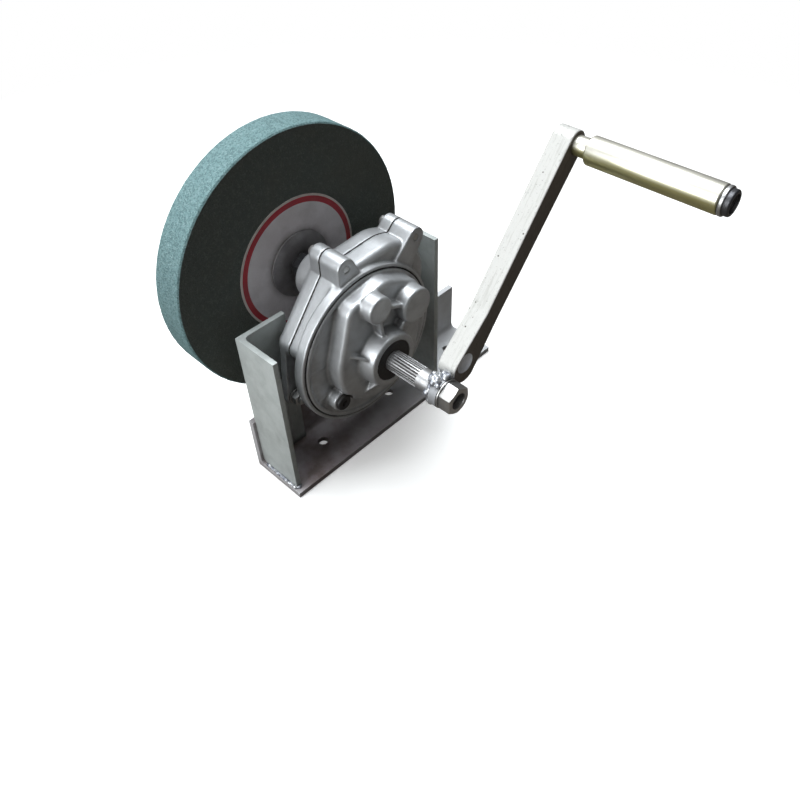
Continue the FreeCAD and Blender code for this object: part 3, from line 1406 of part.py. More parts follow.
def mounting_hardware():
    """Three bolts hold the gearbox to the posts' back legs, two of them through nuts."""
    head_seat = S.post_leg + S.mount_washer_thickness
    lug_front = S.ear_rear - S.lug_thickness
    nut_seat = lug_front - S.mount_washer_thickness
    bore = S.mount_bolt_radius + S.fit_clearance
    through_tip = nut_seat - S.mount_nut_height - S.mount_bolt_tail
    blind_tip = MOUNT_LEVEL - S.blind_bolt_bite
    bolts = []
    nuts = []
    washers = []
    for name, axis, tip in (("left", LEFT_LUG, through_tip), ("right", RIGHT_LUG, through_tip),
                            ("upper", UPPER_PAD, blind_tip)):
        bolts.append(hex_bolt(f"{name}_bolt", axis, tip, head_seat))
        washers.append(ring(f"{name}_back_washer", axis, bore, S.mount_washer_radius, S.post_leg,
                            head_seat))
        if name != "upper":
            nuts.append(nut(f"{name}_nut", axis, S.mount_bolt_flats, bore,
                            nut_seat - S.mount_nut_height, S.mount_nut_height))
            washers.append(ring(f"{name}_front_washer", axis, bore, S.mount_washer_radius, nut_seat,
                                lug_front))
    group("mounting_bolts", bolts)
    group("mounting_nuts", nuts)
    group("mounting_washers", washers)


def stand():
    base_angle()
    drilled_post("left_post", -1, S.left_post_height, (LEFT_LUG,))
    drilled_post("right_post", 1, RIGHT_POST_HEIGHT, (RIGHT_LUG, UPPER_PAD))
    post_welds()


def gearbox():
    front_casing()
    rear_casing()
    casing_gasket()
    front_cover()
    cover_gasket()
    seals_and_bush()
    bearings()
    casing_screws()
    cover_screws()
    filler_plug()
    mounting_hardware()


def check():
    """Stop before writing anything if an object failed or a piece is not sound."""
    for obj in doc.Objects:
        if "Invalid" in obj.State or "Error" in obj.State:
            raise RuntimeError(f"{obj.Label} failed: {obj.State}")
    for obj in SUBPARTS:
        if obj.Shape.isNull() or not obj.Shape.isValid():
            raise RuntimeError(f"{obj.Label} is not sound")
        for solid in obj.Shape.Solids:
            if solid.Volume <= 0:
                raise RuntimeError(f"{obj.Label} is inside out")


def write():
    os.makedirs("parts", exist_ok=True)
    for obj in SUBPARTS:
        obj.Shape.exportStep(f"parts/{obj.Label}.step")
        print(f"{obj.Label}: {len(obj.Shape.Solids)} solids, {obj.Shape.Volume:.0f} cubic millimetres")


stand()
gearbox()
crank()
layshaft_group()
spindle_group()
doc.recompute()
check()
write()
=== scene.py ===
"""Looks of a hand crank bench grinder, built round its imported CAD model."""

import json
import logging
import math
import random
from dataclasses import dataclass, field
from enum import Enum
from typing import Iterable, Sequence

import bmesh
import bpy
from mathutils import Matrix, Vector, noise

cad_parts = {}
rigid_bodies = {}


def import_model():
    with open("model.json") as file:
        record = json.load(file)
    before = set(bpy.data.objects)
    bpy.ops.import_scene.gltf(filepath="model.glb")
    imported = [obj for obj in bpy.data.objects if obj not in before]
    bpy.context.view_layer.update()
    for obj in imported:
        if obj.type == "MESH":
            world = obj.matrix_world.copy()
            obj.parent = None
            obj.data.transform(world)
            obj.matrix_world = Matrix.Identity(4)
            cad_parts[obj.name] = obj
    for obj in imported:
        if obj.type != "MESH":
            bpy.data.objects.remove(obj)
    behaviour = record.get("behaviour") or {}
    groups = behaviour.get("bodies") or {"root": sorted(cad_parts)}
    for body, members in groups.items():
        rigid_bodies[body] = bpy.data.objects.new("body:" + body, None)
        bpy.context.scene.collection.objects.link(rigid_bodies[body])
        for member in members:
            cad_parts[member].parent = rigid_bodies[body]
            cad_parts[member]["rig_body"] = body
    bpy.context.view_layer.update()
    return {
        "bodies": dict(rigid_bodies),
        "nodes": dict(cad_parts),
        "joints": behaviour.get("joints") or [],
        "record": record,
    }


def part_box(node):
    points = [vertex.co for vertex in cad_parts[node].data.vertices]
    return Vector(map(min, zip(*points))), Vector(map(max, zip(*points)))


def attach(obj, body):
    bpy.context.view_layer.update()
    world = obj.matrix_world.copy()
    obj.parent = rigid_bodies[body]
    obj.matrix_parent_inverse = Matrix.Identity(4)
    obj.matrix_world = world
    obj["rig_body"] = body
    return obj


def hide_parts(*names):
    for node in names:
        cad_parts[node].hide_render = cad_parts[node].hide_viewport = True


LOG = logging.getLogger("grinder")
IMAGE_SIDE = 800

# Lengths are in metres, here and in every class below.
MERGE_REACH = 0.000004
SEAM_REACH = 0.000002
FLAT_LIMIT = math.radians(0.6)
SHARP_LIMIT = math.radians(38)
POST_SIDE = 0.1005
WELD_VOXEL = 0.0005
WELD_SMOOTH = 80.0

Colour = tuple[float, float, float]
Corner = tuple[float, float, float]
Range = tuple[float, float]
Ramp = tuple[float, float, float, float]  # reads between the first two, gives between the last two
Cloud = tuple[float, float, float]  # noise: cycles per metre, detail and roughness
Relief = tuple[float, float]  # bump: strength and depth
Socket = bpy.types.NodeSocket
Sockets = dict[str, Socket]

WHITE: Colour = (1.0, 1.0, 1.0)
BLACK: Colour = (0.0, 0.0, 0.0)


class Body(str, Enum):
    """The rigid bodies that pieces ride on."""

    FRAME = "frame"
    CRANK = "crank"
    GRIP = "grip"
    WHEEL = "wheel"



@dataclass(frozen=True)
class Axis:
    """A line along Y that a piece turns about.

    Args:
        x: distance along the base.
        z: height.
    """

    x: float
    z: float

    def at(self, y: float) -> Vector:
        """Return the axis' point at a level along Y."""
        return Vector((self.x, y, self.z))


CRANK_AXIS = Axis(0.0, 0.128)
SPINDLE_AXIS = Axis(-0.009, 0.187)


def rgba(colour: Colour) -> tuple[float, float, float, float]:
    """Return an opaque colour."""
    return (*colour, 1.0)


class Tree:
    """A node tree and short ways to add to it.

    Args:
        tree: the shader tree of a material, a group or the world.
    """

    def __init__(self, tree: bpy.types.NodeTree) -> None:
        self.tree = tree

    def node(self, kind: str, **settings: object) -> bpy.types.Node:
        """Add a node and set its properties.

        Args:
            kind: the node's type after "ShaderNode".
            settings: properties to set on it.

        Returns:
            The new node.
        """
        made = self.tree.nodes.new("ShaderNode" + kind)
        for name, value in settings.items():
            setattr(made, name, value)
        return made

    def feed(self, target: Socket, value: object) -> None:
        """Link a socket to an input, or set the input's own value.

        Args:
            target: the input.
            value: a socket, a number or a colour.
        """
        if isinstance(value, bpy.types.NodeSocket):
            self.tree.links.new(value, target)
        else:
            target.default_value = value

    def put(self, node: bpy.types.Node, *values: object) -> bpy.types.Node:
        """Feed a node's inputs in their own order, and return the node."""
        for socket, value in zip(node.inputs, values):
            self.feed(socket, value)
        return node

    def wire(self, node: bpy.types.Node, **values: object) -> bpy.types.Node:
        """Feed a node's inputs by name, base_color for "Base Color", and return the node."""
        for name, value in values.items():
            self.feed(node.inputs[name.replace("_", " ").title()], value)
        return node

    def math(self, operation: str, first: object, second: object = 0.0, clamp: bool = False) -> Socket:
        """Return the result of a sum on two values."""
        return self.put(self.node("Math", operation=operation, use_clamp=clamp), first, second).outputs[0]

    def mix(self, share: object, first: object, second: object) -> Socket:
        """Return one colour laid over another.

        Args:
            share: how much of the second shows.
            first: the colour underneath.
            second: the colour on top.

        Returns:
            The mixed colour's socket.
        """
        made = self.node("Mix", data_type="RGBA")
        self.feed(made.inputs["Factor"], share)
        for socket, value in ((made.inputs[6], first), (made.inputs[7], second)):
            self.feed(socket, rgba(value) if isinstance(value, tuple) else value)
        return made.outputs[2]

    def over(self, colour: object, effect: bpy.types.NodeTree, top: Colour, **values: float) -> Socket:
        """Return a colour with another on top where a shared effect's mask is bright."""
        return self.mix(self.group(effect, **values).outputs["Mask"], colour, top)

    def span(self, value: Socket, low: float, high: float, start: float, end: float) -> Socket:
        """Return a value moved from one range to another, and kept inside it."""
        return self.put(self.node("MapRange", clamp=True), value, low, high, start, end).outputs[0]

    def noise(self, vector: Socket, scale: object, detail: float, roughness: float) -> Socket:
        """Return soft random cloud values."""
        made = self.node("TexNoise")
        return self.wire(made, vector=vector, scale=scale, detail=detail, roughness=roughness).outputs[0]

    def swing(self, cloud: Socket, reach: float) -> Socket:
        """Return cloud values spread about zero, over a reach."""
        return self.math("MULTIPLY", self.math("SUBTRACT", cloud, 0.5), reach)

    def cells(self, vector: Socket, scale: float) -> bpy.types.Node:
        """Return a texture of random cells, for grains and pits."""
        return self.wire(self.node("TexVoronoi"), vector=vector, scale=scale)

    def parts(self, value: Socket, kind: str = "XYZ") -> Sockets:
        """Return the single values of a vector, or of a colour with the kind "Color"."""
        return self.put(self.node("Separate" + kind), value).outputs

    def length(self, vector: Socket) -> Socket:
        """Return a vector's length."""
        return self.put(self.node("VectorMath", operation="LENGTH"), vector).outputs["Value"]

    def place(self) -> Socket:
        """Return the point's place on the object."""
        return self.node("TexCoord").outputs["Object"]

    def facing(self) -> Sockets:
        """Return the way that the surface faces, as single values."""
        return self.parts(self.node("NewGeometry").outputs["Normal"])

    def moved(self, vector: Socket, shift: Corner = (0, 0, 0), scale: Corner = (1, 1, 1),
              turn: Corner = (0, 0, 0)) -> Socket:
        """Return a place shifted, stretched and turned."""
        made = self.node("Mapping")
        return self.wire(made, vector=vector, location=shift, scale=scale, rotation=turn).outputs[0]

    def radius_about(self, axis: Axis) -> Socket:
        """Return the distance from an axis along Y."""
        return self.length(self.moved(self.place(), (-axis.x, 0, -axis.z), (1, 0, 1)))

    def bump(self, height: Socket, strength: float, distance: float, under: Socket | None = None) -> Socket:
        """Return a normal that is raised by a height, over another normal if there is one."""
        below = {} if under is None else {"normal": under}
        made = self.node("Bump")
        return self.wire(made, strength=strength, distance=distance, height=height, **below).outputs[0]

    def group(self, tree: bpy.types.NodeTree, **values: object) -> bpy.types.Node:
        """Place a shared effect and set its inputs by name."""
        return self.wire(self.node("Group", node_tree=tree), **values)


class Effects:
    """Effects that several finishes share, each built once as a node group."""

    bevel_samples: int = 4
    edge_turn: Ramp = (0.985, 0.8, 0.0, 1.0)
    edge_grain: Range = (4.0, 0.65)
    edge_gaps: Ramp = (0.4, 0.62, 0.0, 1.0)
    # The hollow_ settings shape the painted shade in corners, from ambient occlusion.
    hollow_samples: int = 6
    hollow_reach: float = 0.008
    hollow_depth: Ramp = (0.35, 0.95, 1.0, 0.0)
    hollow_gaps: Ramp = (0.3, 0.6, 0.45, 1.0)
    drift_grain: Range = (6.0, 0.62)
    drift_cut: Ramp = (0.48, 0.72, 0.0, 1.0)
    skin_grain: Range = (3.0, 0.6)
    slow_grain: Range = (4.0, 0.6)
    slow_share: float = 0.6
    scratch_ways: tuple[Corner, Corner] = ((1.0, 14.0, 3.0), (9.0, 1.0, 11.0))
    scratch_grain: Range = (5.0, 0.7)
    scratch_cut: Ramp = (0.62, 0.72, 0.0, 1.0)

    def __init__(self) -> None:
        self.edge_wear = self._edge_wear()
        self.grime_and_shade = self._grime()
        self.skin = self._skin()
        self.scratches = self._scratches()

    @staticmethod
    def _start(name: str, inputs: dict[str, float], outputs: Sequence[str]) -> tuple[Tree, Sockets, Sockets]:
        """Make an empty group with named number sockets.

        Args:
            name: the group's name.
            inputs: input names and their usual values.
            outputs: output names.

        Returns:
            The tree, the sockets that its inputs come from and those that its outputs go to.
        """
        tree = bpy.data.node_groups.new(name, "ShaderNodeTree")
        for label, value in inputs.items():
            made = tree.interface.new_socket(label, in_out="INPUT", socket_type="NodeSocketFloat")
            made.default_value = value
        for label in outputs:
            tree.interface.new_socket(label, in_out="OUTPUT", socket_type="NodeSocketFloat")
        into, out = (tree.nodes.new(kind) for kind in ("NodeGroupInput", "NodeGroupOutput"))
        return Tree(tree), into.outputs, out.inputs

    def _edge_wear(self) -> bpy.types.NodeTree:
        """Return a mask that is bright where edges have rubbed bare."""
        usual = {"Reach": 0.0012, "Amount": 1.0, "Scale": 300.0}
        t, taken, given = self._start("edge wear", usual, ["Mask"])
        bevel = t.wire(t.node("Bevel", samples=self.bevel_samples), radius=taken["Reach"])
        turn = t.put(t.node("VectorMath", operation="DOT_PRODUCT"), bevel.outputs[0],
                     t.node("NewGeometry").outputs["Normal"])
        edge = t.span(turn.outputs["Value"], *self.edge_turn)
        patch = t.noise(t.place(), taken["Scale"], *self.edge_grain)
        worn = t.math("MULTIPLY", edge, t.span(patch, *self.edge_gaps))
        t.feed(given["Mask"], t.math("MULTIPLY", worn, taken["Amount"], True))
        return t.tree

    def _grime(self) -> bpy.types.NodeTree:
        """Return a mask of painted shade in corners, from ambient occlusion, and of soiling in drifting
        patches.
        """
        t, taken, given = self._start("grime_and_shade", {"Scale": 40.0, "Corner": 0.8, "Patch": 0.3}, ["Mask"])
        # Ambient occlusion gives the corner part: a painted shade in corners and recesses.
        hollow = t.wire(t.node("AmbientOcclusion", samples=self.hollow_samples, only_local=False),
                        distance=self.hollow_reach)
        corner = t.span(hollow.outputs["AO"], *self.hollow_depth)
        drift = t.noise(t.place(), taken["Scale"], *self.drift_grain)
        patch = t.math("MULTIPLY", t.span(drift, *self.drift_cut), taken["Patch"])
        spread = t.math("MULTIPLY", corner, t.span(drift, *self.hollow_gaps))
        filled = t.math("MULTIPLY", spread, taken["Corner"])
        t.feed(given["Mask"], t.math("ADD", filled, patch, True))
        return t.tree

    def _skin(self) -> bpy.types.NodeTree:
        """Return the height of a fine skin, such as of cast metal or paint, and slow patches."""
        t, taken, given = self._start("skin", {"Scale": 900.0, "Patch Scale": 60.0}, ["Height", "Patch"])
        fine = t.noise(t.place(), taken["Scale"], *self.skin_grain)
        slow = t.noise(t.place(), taken["Patch Scale"], *self.slow_grain)
        t.feed(given["Height"], t.math("ADD", fine, t.math("MULTIPLY", slow, self.slow_share)))
        t.feed(given["Patch"], slow)
        return t.tree

    def _scratches(self) -> bpy.types.NodeTree:
        """Return a mask of fine scratches that run mostly one way."""
        t, taken, given = self._start("scratches", {"Scale": 60.0, "Keep": 0.6}, ["Mask"])
        first, second = (t.noise(t.moved(t.place(), scale=way), taken["Scale"], *self.scratch_grain)
                         for way in self.scratch_ways)
        both = t.span(t.math("MAXIMUM", first, second), *self.scratch_cut)
        t.feed(given["Mask"], t.math("MULTIPLY", both, taken["Keep"]))
        return t.tree


@dataclass(frozen=True)
class Finish:
    """A worn surface: its colours, gloss, skin, soiling and painted corner shade.

    Args:
        name: the material's name, and the slot it belongs to.
        colour: the main colour.
        patch: the colour of slow patches in it.
        metallic: how metallic it is.
        gloss: lowest and highest roughness.
        bare: the colour of rubbed edges.
        wear: how much of the edges is rubbed.
        reach: how far wear reaches from an edge.
        dirt_and_shade: the colour of soiling in patches and of painted shade in corners.
        corner: how much painted shade lies in corners, from ambient occlusion.
        drift: how much soiling lies in patches.
        skin_scale: cycles per metre of the skin's grain.
        skin_height: the grain's depth.
        scratch: how strong the scratches are.
        patch_cut: the ramp that sets the slow patches off.
        grain_heights: the skin's heights between which the roughness changes.
        dulling: how much rougher the corner shade and soiling make it.
    """

    name: str
    colour: Colour
    patch: Colour
    metallic: float
    gloss: tuple[float, float]
    bare: Colour = (0.6, 0.6, 0.6)
    wear: float = 0.5
    reach: float = 0.0008
    dirt_and_shade: Colour = (0.06, 0.05, 0.04)
    corner: float = 0.6
    drift: float = 0.2
    skin_scale: float = 900.0
    skin_height: float = 0.00008
    scratch: float = 0.2
    patch_cut: Ramp = (0.38, 0.64, 0.0, 1.0)
    grain_heights: Range = (0.5, 1.05)
    dulling: float = 0.25

    def build(self, effects: Effects) -> bpy.types.Material:
        """Make the material.

        Args:
            effects: the shared node groups.

        Returns:
            The new material.
        """
        material, t, shader = new_material(self.name)
        skin = t.group(effects.skin, scale=self.skin_scale)
        colour = t.mix(t.span(skin.outputs["Patch"], *self.patch_cut), self.colour, self.patch)
        colour = t.over(colour, effects.scratches, self.bare, keep=self.scratch)
        colour = t.over(colour, effects.edge_wear, self.bare, reach=self.reach, amount=self.wear)
        # Painted shade in corners, from ambient occlusion, and soiling in patches darken and roughen the
        # surface.
        grime_and_shade = t.group(effects.grime_and_shade, corner=self.corner, patch=self.drift).outputs["Mask"]
        rough = t.span(skin.outputs["Height"], *self.grain_heights, *self.gloss)
        t.wire(shader, base_color=t.mix(grime_and_shade, colour, self.dirt_and_shade), metallic=self.metallic,
               roughness=t.math("ADD", rough, t.math("MULTIPLY", grime_and_shade, self.dulling)),
               normal=t.bump(skin.outputs["Height"], 1.0, self.skin_height))
        return material


def new_material(name: str) -> tuple[bpy.types.Material, Tree, bpy.types.Node]:
    """Make a material with an empty Principled shader.

    Args:
        name: the material's name.

    Returns:
        The material, its tree and the shader node.
    """
    material = bpy.data.materials.new(name)
    material.use_nodes = True
    material.node_tree.nodes.clear()
    t = Tree(material.node_tree)
    output = t.node("OutputMaterial")
    shader = t.node("BsdfPrincipled")
    t.feed(output.inputs["Surface"], shader.outputs[0])
    return material, t, shader


@dataclass(frozen=True)
class WheelGrit:
    """Bonded abrasive grain: pale on the dressed rim, dark on the sides."""

    rim: Colour = (0.125, 0.218, 0.228)
    rim_light: Colour = (0.26, 0.365, 0.37)
    rim_dark: Colour = (0.058, 0.112, 0.122)
    rim_fine: Colour = (0.20, 0.30, 0.295)
    side: Colour = (0.085, 0.100, 0.092)
    side_grain: Colour = (0.145, 0.165, 0.150)
    side_drift: Colour = (0.098, 0.102, 0.086)
    grains: Range = (820.0, 1900.0)
    light_cut: Ramp = (0.7, 0.9, 0.0, 0.45)
    dark_cut: Ramp = (0.42, 0.80, 0.0, 0.85)
    fine_share: float = 0.35
    side_cut: Ramp = (0.7, 0.95, 0.0, 0.5)
    drift: Cloud = (26.0, 4.0, 0.55)
    drift_cut: Ramp = (0.4, 0.7, 0.0, 0.45)
    rim_start: float = 0.1238
    rim_blur: float = 0.0008
    fray: float = 0.0012
    fray_cloud: Cloud = (700.0, 3.0, 0.55)
    gloss: Ramp = (0.0, 1.0, 0.72, 0.95)
    sheen: float = 0.3
    fine_height: float = 0.5
    relief: Relief = (0.9, 0.00035)

    def build(self, effects: Effects) -> bpy.types.Material:
        """Make the material, which needs none of the shared effects."""
        material, t, shader = new_material("wheel_grit")
        place = t.place()
        coarse, fine = (t.cells(place, scale) for scale in self.grains)
        tone = t.parts(coarse.outputs["Color"], "Color")
        tint = t.parts(fine.outputs["Color"], "Color")
        rim = t.mix(t.span(tone["Red"], *self.light_cut), self.rim, self.rim_light)
        rim = t.mix(t.span(tone["Green"], *self.dark_cut), rim, self.rim_dark)
        rim = t.mix(t.math("MULTIPLY", tint["Blue"], self.fine_share), rim, self.rim_fine)
        side = t.mix(t.span(tone["Blue"], *self.side_cut), self.side, self.side_grain)
        side = t.mix(t.span(t.noise(place, *self.drift), *self.drift_cut), side, self.side_drift)
        fray = t.math("MULTIPLY", t.noise(place, *self.fray_cloud), self.fray)
        where = t.math("ADD", t.radius_about(SPINDLE_AXIS), fray)
        edge = t.span(where, self.rim_start, self.rim_start + self.rim_blur, 0.0, 1.0)
        height = t.math("ADD", coarse.outputs["Distance"],
                        t.math("MULTIPLY", fine.outputs["Distance"], self.fine_height))
        t.wire(shader, base_color=t.mix(edge, side, rim), metallic=0.0,
               roughness=t.span(tone["Red"], *self.gloss), normal=t.bump(height, *self.relief))
        t.feed(shader.inputs["Specular IOR Level"], self.sheen)
        return material


@dataclass(frozen=True)
class LabelPaper:
    """The wheel's blank paper disc: a plain red ring near its edge and a pale border."""

    paper: Colour = (0.74, 0.71, 0.74)
    blotch: Colour = (0.60, 0.57, 0.59)
    fibre: Colour = (0.56, 0.52, 0.53)
    ring: Colour = (0.46, 0.040, 0.055)
    faded: Colour = (0.26, 0.05, 0.06)
    border: Colour = (0.62, 0.56, 0.53)
    # A patchy darker ring just outside the flange, fading outwards.
    flange_ring: Colour = (0.16, 0.145, 0.15)
    dirt_and_shade: Colour = (0.14, 0.12, 0.11)
    ring_start: float = 0.0574
    ring_end: float = 0.0626
    blur: float = 0.00035
    fray: float = 0.00025
    fray_cloud: Cloud = (900.0, 3.0, 0.55)
    fibres: Cloud = (1500.0, 3.0, 0.55)
    fibre_cut: Ramp = (0.4, 0.7, 0.0, 0.25)
    blotches: Cloud = (45.0, 5.0, 0.55)
    blotch_cut: Ramp = (0.42, 0.68, 0.0, 0.55)
    faded_cut: Ramp = (0.4, 0.7, 0.0, 0.5)
    flange_ring_reach: Ramp = (0.031, 0.038, 0.55, 0.0)
    flange_ring_cut: Ramp = (0.3, 0.6, 0.4, 1.0)
    gloss: Ramp = (0.3, 0.7, 0.55, 0.85)
    relief: Relief = (0.5, 0.00008)

    def build(self, effects: Effects) -> bpy.types.Material:
        """Make the material from the shared effects."""
        material, t, shader = new_material("label_paper")
        place = t.place()
        fibre, blotch = t.noise(place, *self.fibres), t.noise(place, *self.blotches)
        radius = t.radius_about(SPINDLE_AXIS)
        frayed = t.math("ADD", radius, t.math("MULTIPLY", t.noise(place, *self.fray_cloud), self.fray))
        colour = t.mix(t.span(blotch, *self.blotch_cut), self.paper, self.blotch)
        colour = t.mix(t.span(fibre, *self.fibre_cut), colour, self.fibre)
        ring = t.mix(t.span(blotch, *self.faded_cut), self.ring, self.faded)
        for start, outside in ((self.ring_start, ring), (self.ring_end, self.border)):
            colour = t.mix(t.span(frayed, start, start + self.blur, 0.0, 1.0), colour, outside)
        # Darker in a patchy ring just outside the flange.
        flange_ring = t.math("MULTIPLY", t.span(radius, *self.flange_ring_reach), t.span(blotch, *self.flange_ring_cut))
        colour = t.mix(flange_ring, colour, self.flange_ring)
        # Painted shade in corners and soiling in patches lie over the paper.
        t.wire(shader, base_color=t.over(colour, effects.grime_and_shade, self.dirt_and_shade, corner=0.5, patch=0.25),
               roughness=t.span(fibre, *self.gloss), normal=t.bump(fibre, *self.relief))
        return material


@dataclass(frozen=True)
class ArmZinc:
    """Hot zinc on a forged bar: pale, streaked along the bar, with small dark pits; the front face carries a
    painted shade, and the scoop in it a painted pale light.
    """

    colour: Colour = (0.52, 0.52, 0.50)
    streak: Colour = (0.42, 0.42, 0.395)
    pit: Colour = (0.055, 0.045, 0.035)
    # front: a painted shade on the bar's front face, which faces away from the light.
    front: Colour = (0.100, 0.080, 0.062)
    # scoop: a pale bluish colour that paints the light falling into the scoop.
    scoop: Colour = (0.80, 0.83, 0.88)
    hub: Colour = (0.27, 0.28, 0.30)
    rubbed: Colour = (0.5, 0.49, 0.46)
    metallic: float = 0.2
    hub_radius: float = 0.0150
    hub_blur: float = 0.0008
    hub_share: float = 0.85
    front_levels: Range = (-0.09925, -0.09945)
    facing_cut: Ramp = (-0.75, -0.95, 0.0, 1.0)
    front_shade_cut: Ramp = (0.3, 0.7, 1.0, 0.82)
    scoop_axis: Axis = Axis(0.0245, 0.1456)
    scoop_reach: float = 0.0101
    scoop_curve: float = 0.0110
    scoop_light_share: float = 0.95
    lean: float = math.radians(47.4)
    stretch: Corner = (0.07, 1.0, 1.0)
    streaks: Cloud = (420.0, 4.0, 0.6)
    streak_cut: Ramp = (0.52, 0.66, 0.0, 0.75)
    streak_height: float = 0.3
    pits_per_metre: float = 260.0
    pit_chance: float = 0.86
    pit_cut: Ramp = (0.10, 0.26, 1.0, 0.0)
    specks: Cloud = (700.0, 5.0, 0.7)
    speck_cut: Ramp = (0.61, 0.68, 0.0, 0.7)
    gloss: Ramp = (0.3, 0.7, 0.36, 0.6)
    relief: Relief = (0.7, 0.0003)

    def build(self, effects: Effects) -> bpy.types.Material:
        """Make the material from the shared effects."""
        material, t, shader = new_material("arm_zinc")
        place = t.place()
        along = t.moved(t.moved(place, turn=(0.0, self.lean, 0.0)), scale=self.stretch)
        streaks = t.noise(along, *self.streaks)
        colour = t.mix(t.span(streaks, *self.streak_cut), self.colour, self.streak)
        cells = t.cells(place, self.pits_per_metre)
        chance = t.parts(cells.outputs["Color"], "Color")["Red"]
        pits = t.math("MULTIPLY", t.span(cells.outputs["Distance"], *self.pit_cut),
                      t.math("GREATER_THAN", chance, self.pit_chance))
        pits = t.math("MAXIMUM", pits, t.span(t.noise(place, *self.specks), *self.speck_cut))
        colour = t.mix(pits, colour, self.pit)
        hub = t.span(t.radius_about(CRANK_AXIS), self.hub_radius, self.hub_radius + self.hub_blur,
                     self.hub_share, 0.0)
        colour = t.mix(hub, colour, self.hub)
        facing = t.span(t.facing()["Y"], *self.facing_cut)
        level = t.parts(place)["Y"]
        face = t.math("MULTIPLY", facing, t.span(level, *self.front_levels, 0.0, 1.0))
        hollow = t.math("MULTIPLY", facing, t.span(level, *self.front_levels, 1.0, 0.0))
        # Painted light: the scoop behind the front face turns pale bluish.
        colour = t.mix(t.math("MULTIPLY", hollow, self.scoop_light_share), colour, self.scoop)
        # Painted shade: the front face, facing -Y, turns dark brown, broken a little by the streaks.
        colour = t.mix(t.math("MULTIPLY", face, t.span(streaks, *self.front_shade_cut)), colour, self.front)
        height = t.math("SUBTRACT", t.math("MULTIPLY", streaks, self.streak_height), pits)
        bowl = t.math("POWER", t.radius_about(self.scoop_axis), 2.0)
        bowl = t.math("DIVIDE", t.math("SUBTRACT", bowl, self.scoop_reach ** 2), 2 * self.scoop_curve)
        sunk = t.math("MULTIPLY", t.math("MINIMUM", bowl, 0.0), hollow)
        t.wire(shader, base_color=t.over(colour, effects.edge_wear, self.rubbed, reach=0.0010, amount=0.5),
               metallic=self.metallic, roughness=t.span(streaks, *self.gloss),
               normal=t.bump(sunk, 1.0, 1.0, t.bump(height, *self.relief)))
        return material


@dataclass(frozen=True)
class ShaftSteel:
    """Turned steel with a satin finish, darker in the spline's roots."""

    colour: Colour = (0.50, 0.51, 0.52)
    dull: Colour = (0.38, 0.38, 0.385)
    # root: the darker colour in the spline's roots.
    root: Colour = (0.045, 0.042, 0.040)
    rubbed: Colour = (0.78, 0.78, 0.78)
    dirt_and_shade: Colour = (0.07, 0.06, 0.055)
    metallic: float = 0.85
    root_radius: float = 0.00935
    tip_radius: float = 0.00985
    root_share: float = 0.92
    spline_start: Ramp = (-0.040, -0.046, 0.0, 1.0)
    spline_end: Ramp = (-0.0888, -0.0892, 1.0, 0.0)
    drift: Cloud = (120.0, 4.0, 0.55)
    drift_cut: Ramp = (0.42, 0.62, 0.0, 0.8)
    turning: Cloud = (3200.0, 2.0, 0.55)
    stretch: Corner = (0.05, 1.0, 0.05)
    gloss: Ramp = (0.3, 0.7, 0.34, 0.48)
    relief: Relief = (0.15, 0.00001)

    def build(self, effects: Effects) -> bpy.types.Material:
        """Make the material from the shared effects."""
        material, t, shader = new_material("ground_steel")
        place = t.place()
        drift = t.noise(place, *self.drift)
        turned = t.noise(t.moved(place, scale=self.stretch), *self.turning)
        colour = t.mix(t.span(drift, *self.drift_cut), self.colour, self.dull)
        level = t.parts(place)["Y"]
        # Darker between the root and the tip radius, on the splined length only.
        root_darkening = t.span(t.radius_about(CRANK_AXIS), self.root_radius, self.tip_radius, self.root_share, 0.0)
        for zone in (self.spline_end, self.spline_start):
            root_darkening = t.math("MULTIPLY", root_darkening, t.span(level, *zone))
        colour = t.mix(root_darkening, colour, self.root)
        colour = t.over(colour, effects.edge_wear, self.rubbed, reach=0.0004, amount=0.35)
        # Painted shade in corners and soiling in patches lie over the steel.
        t.wire(shader, base_color=t.over(colour, effects.grime_and_shade, self.dirt_and_shade, corner=0.5, patch=0.1),
               metallic=self.metallic, roughness=t.span(drift, *self.gloss),
               normal=t.bump(turned, *self.relief))
        return material


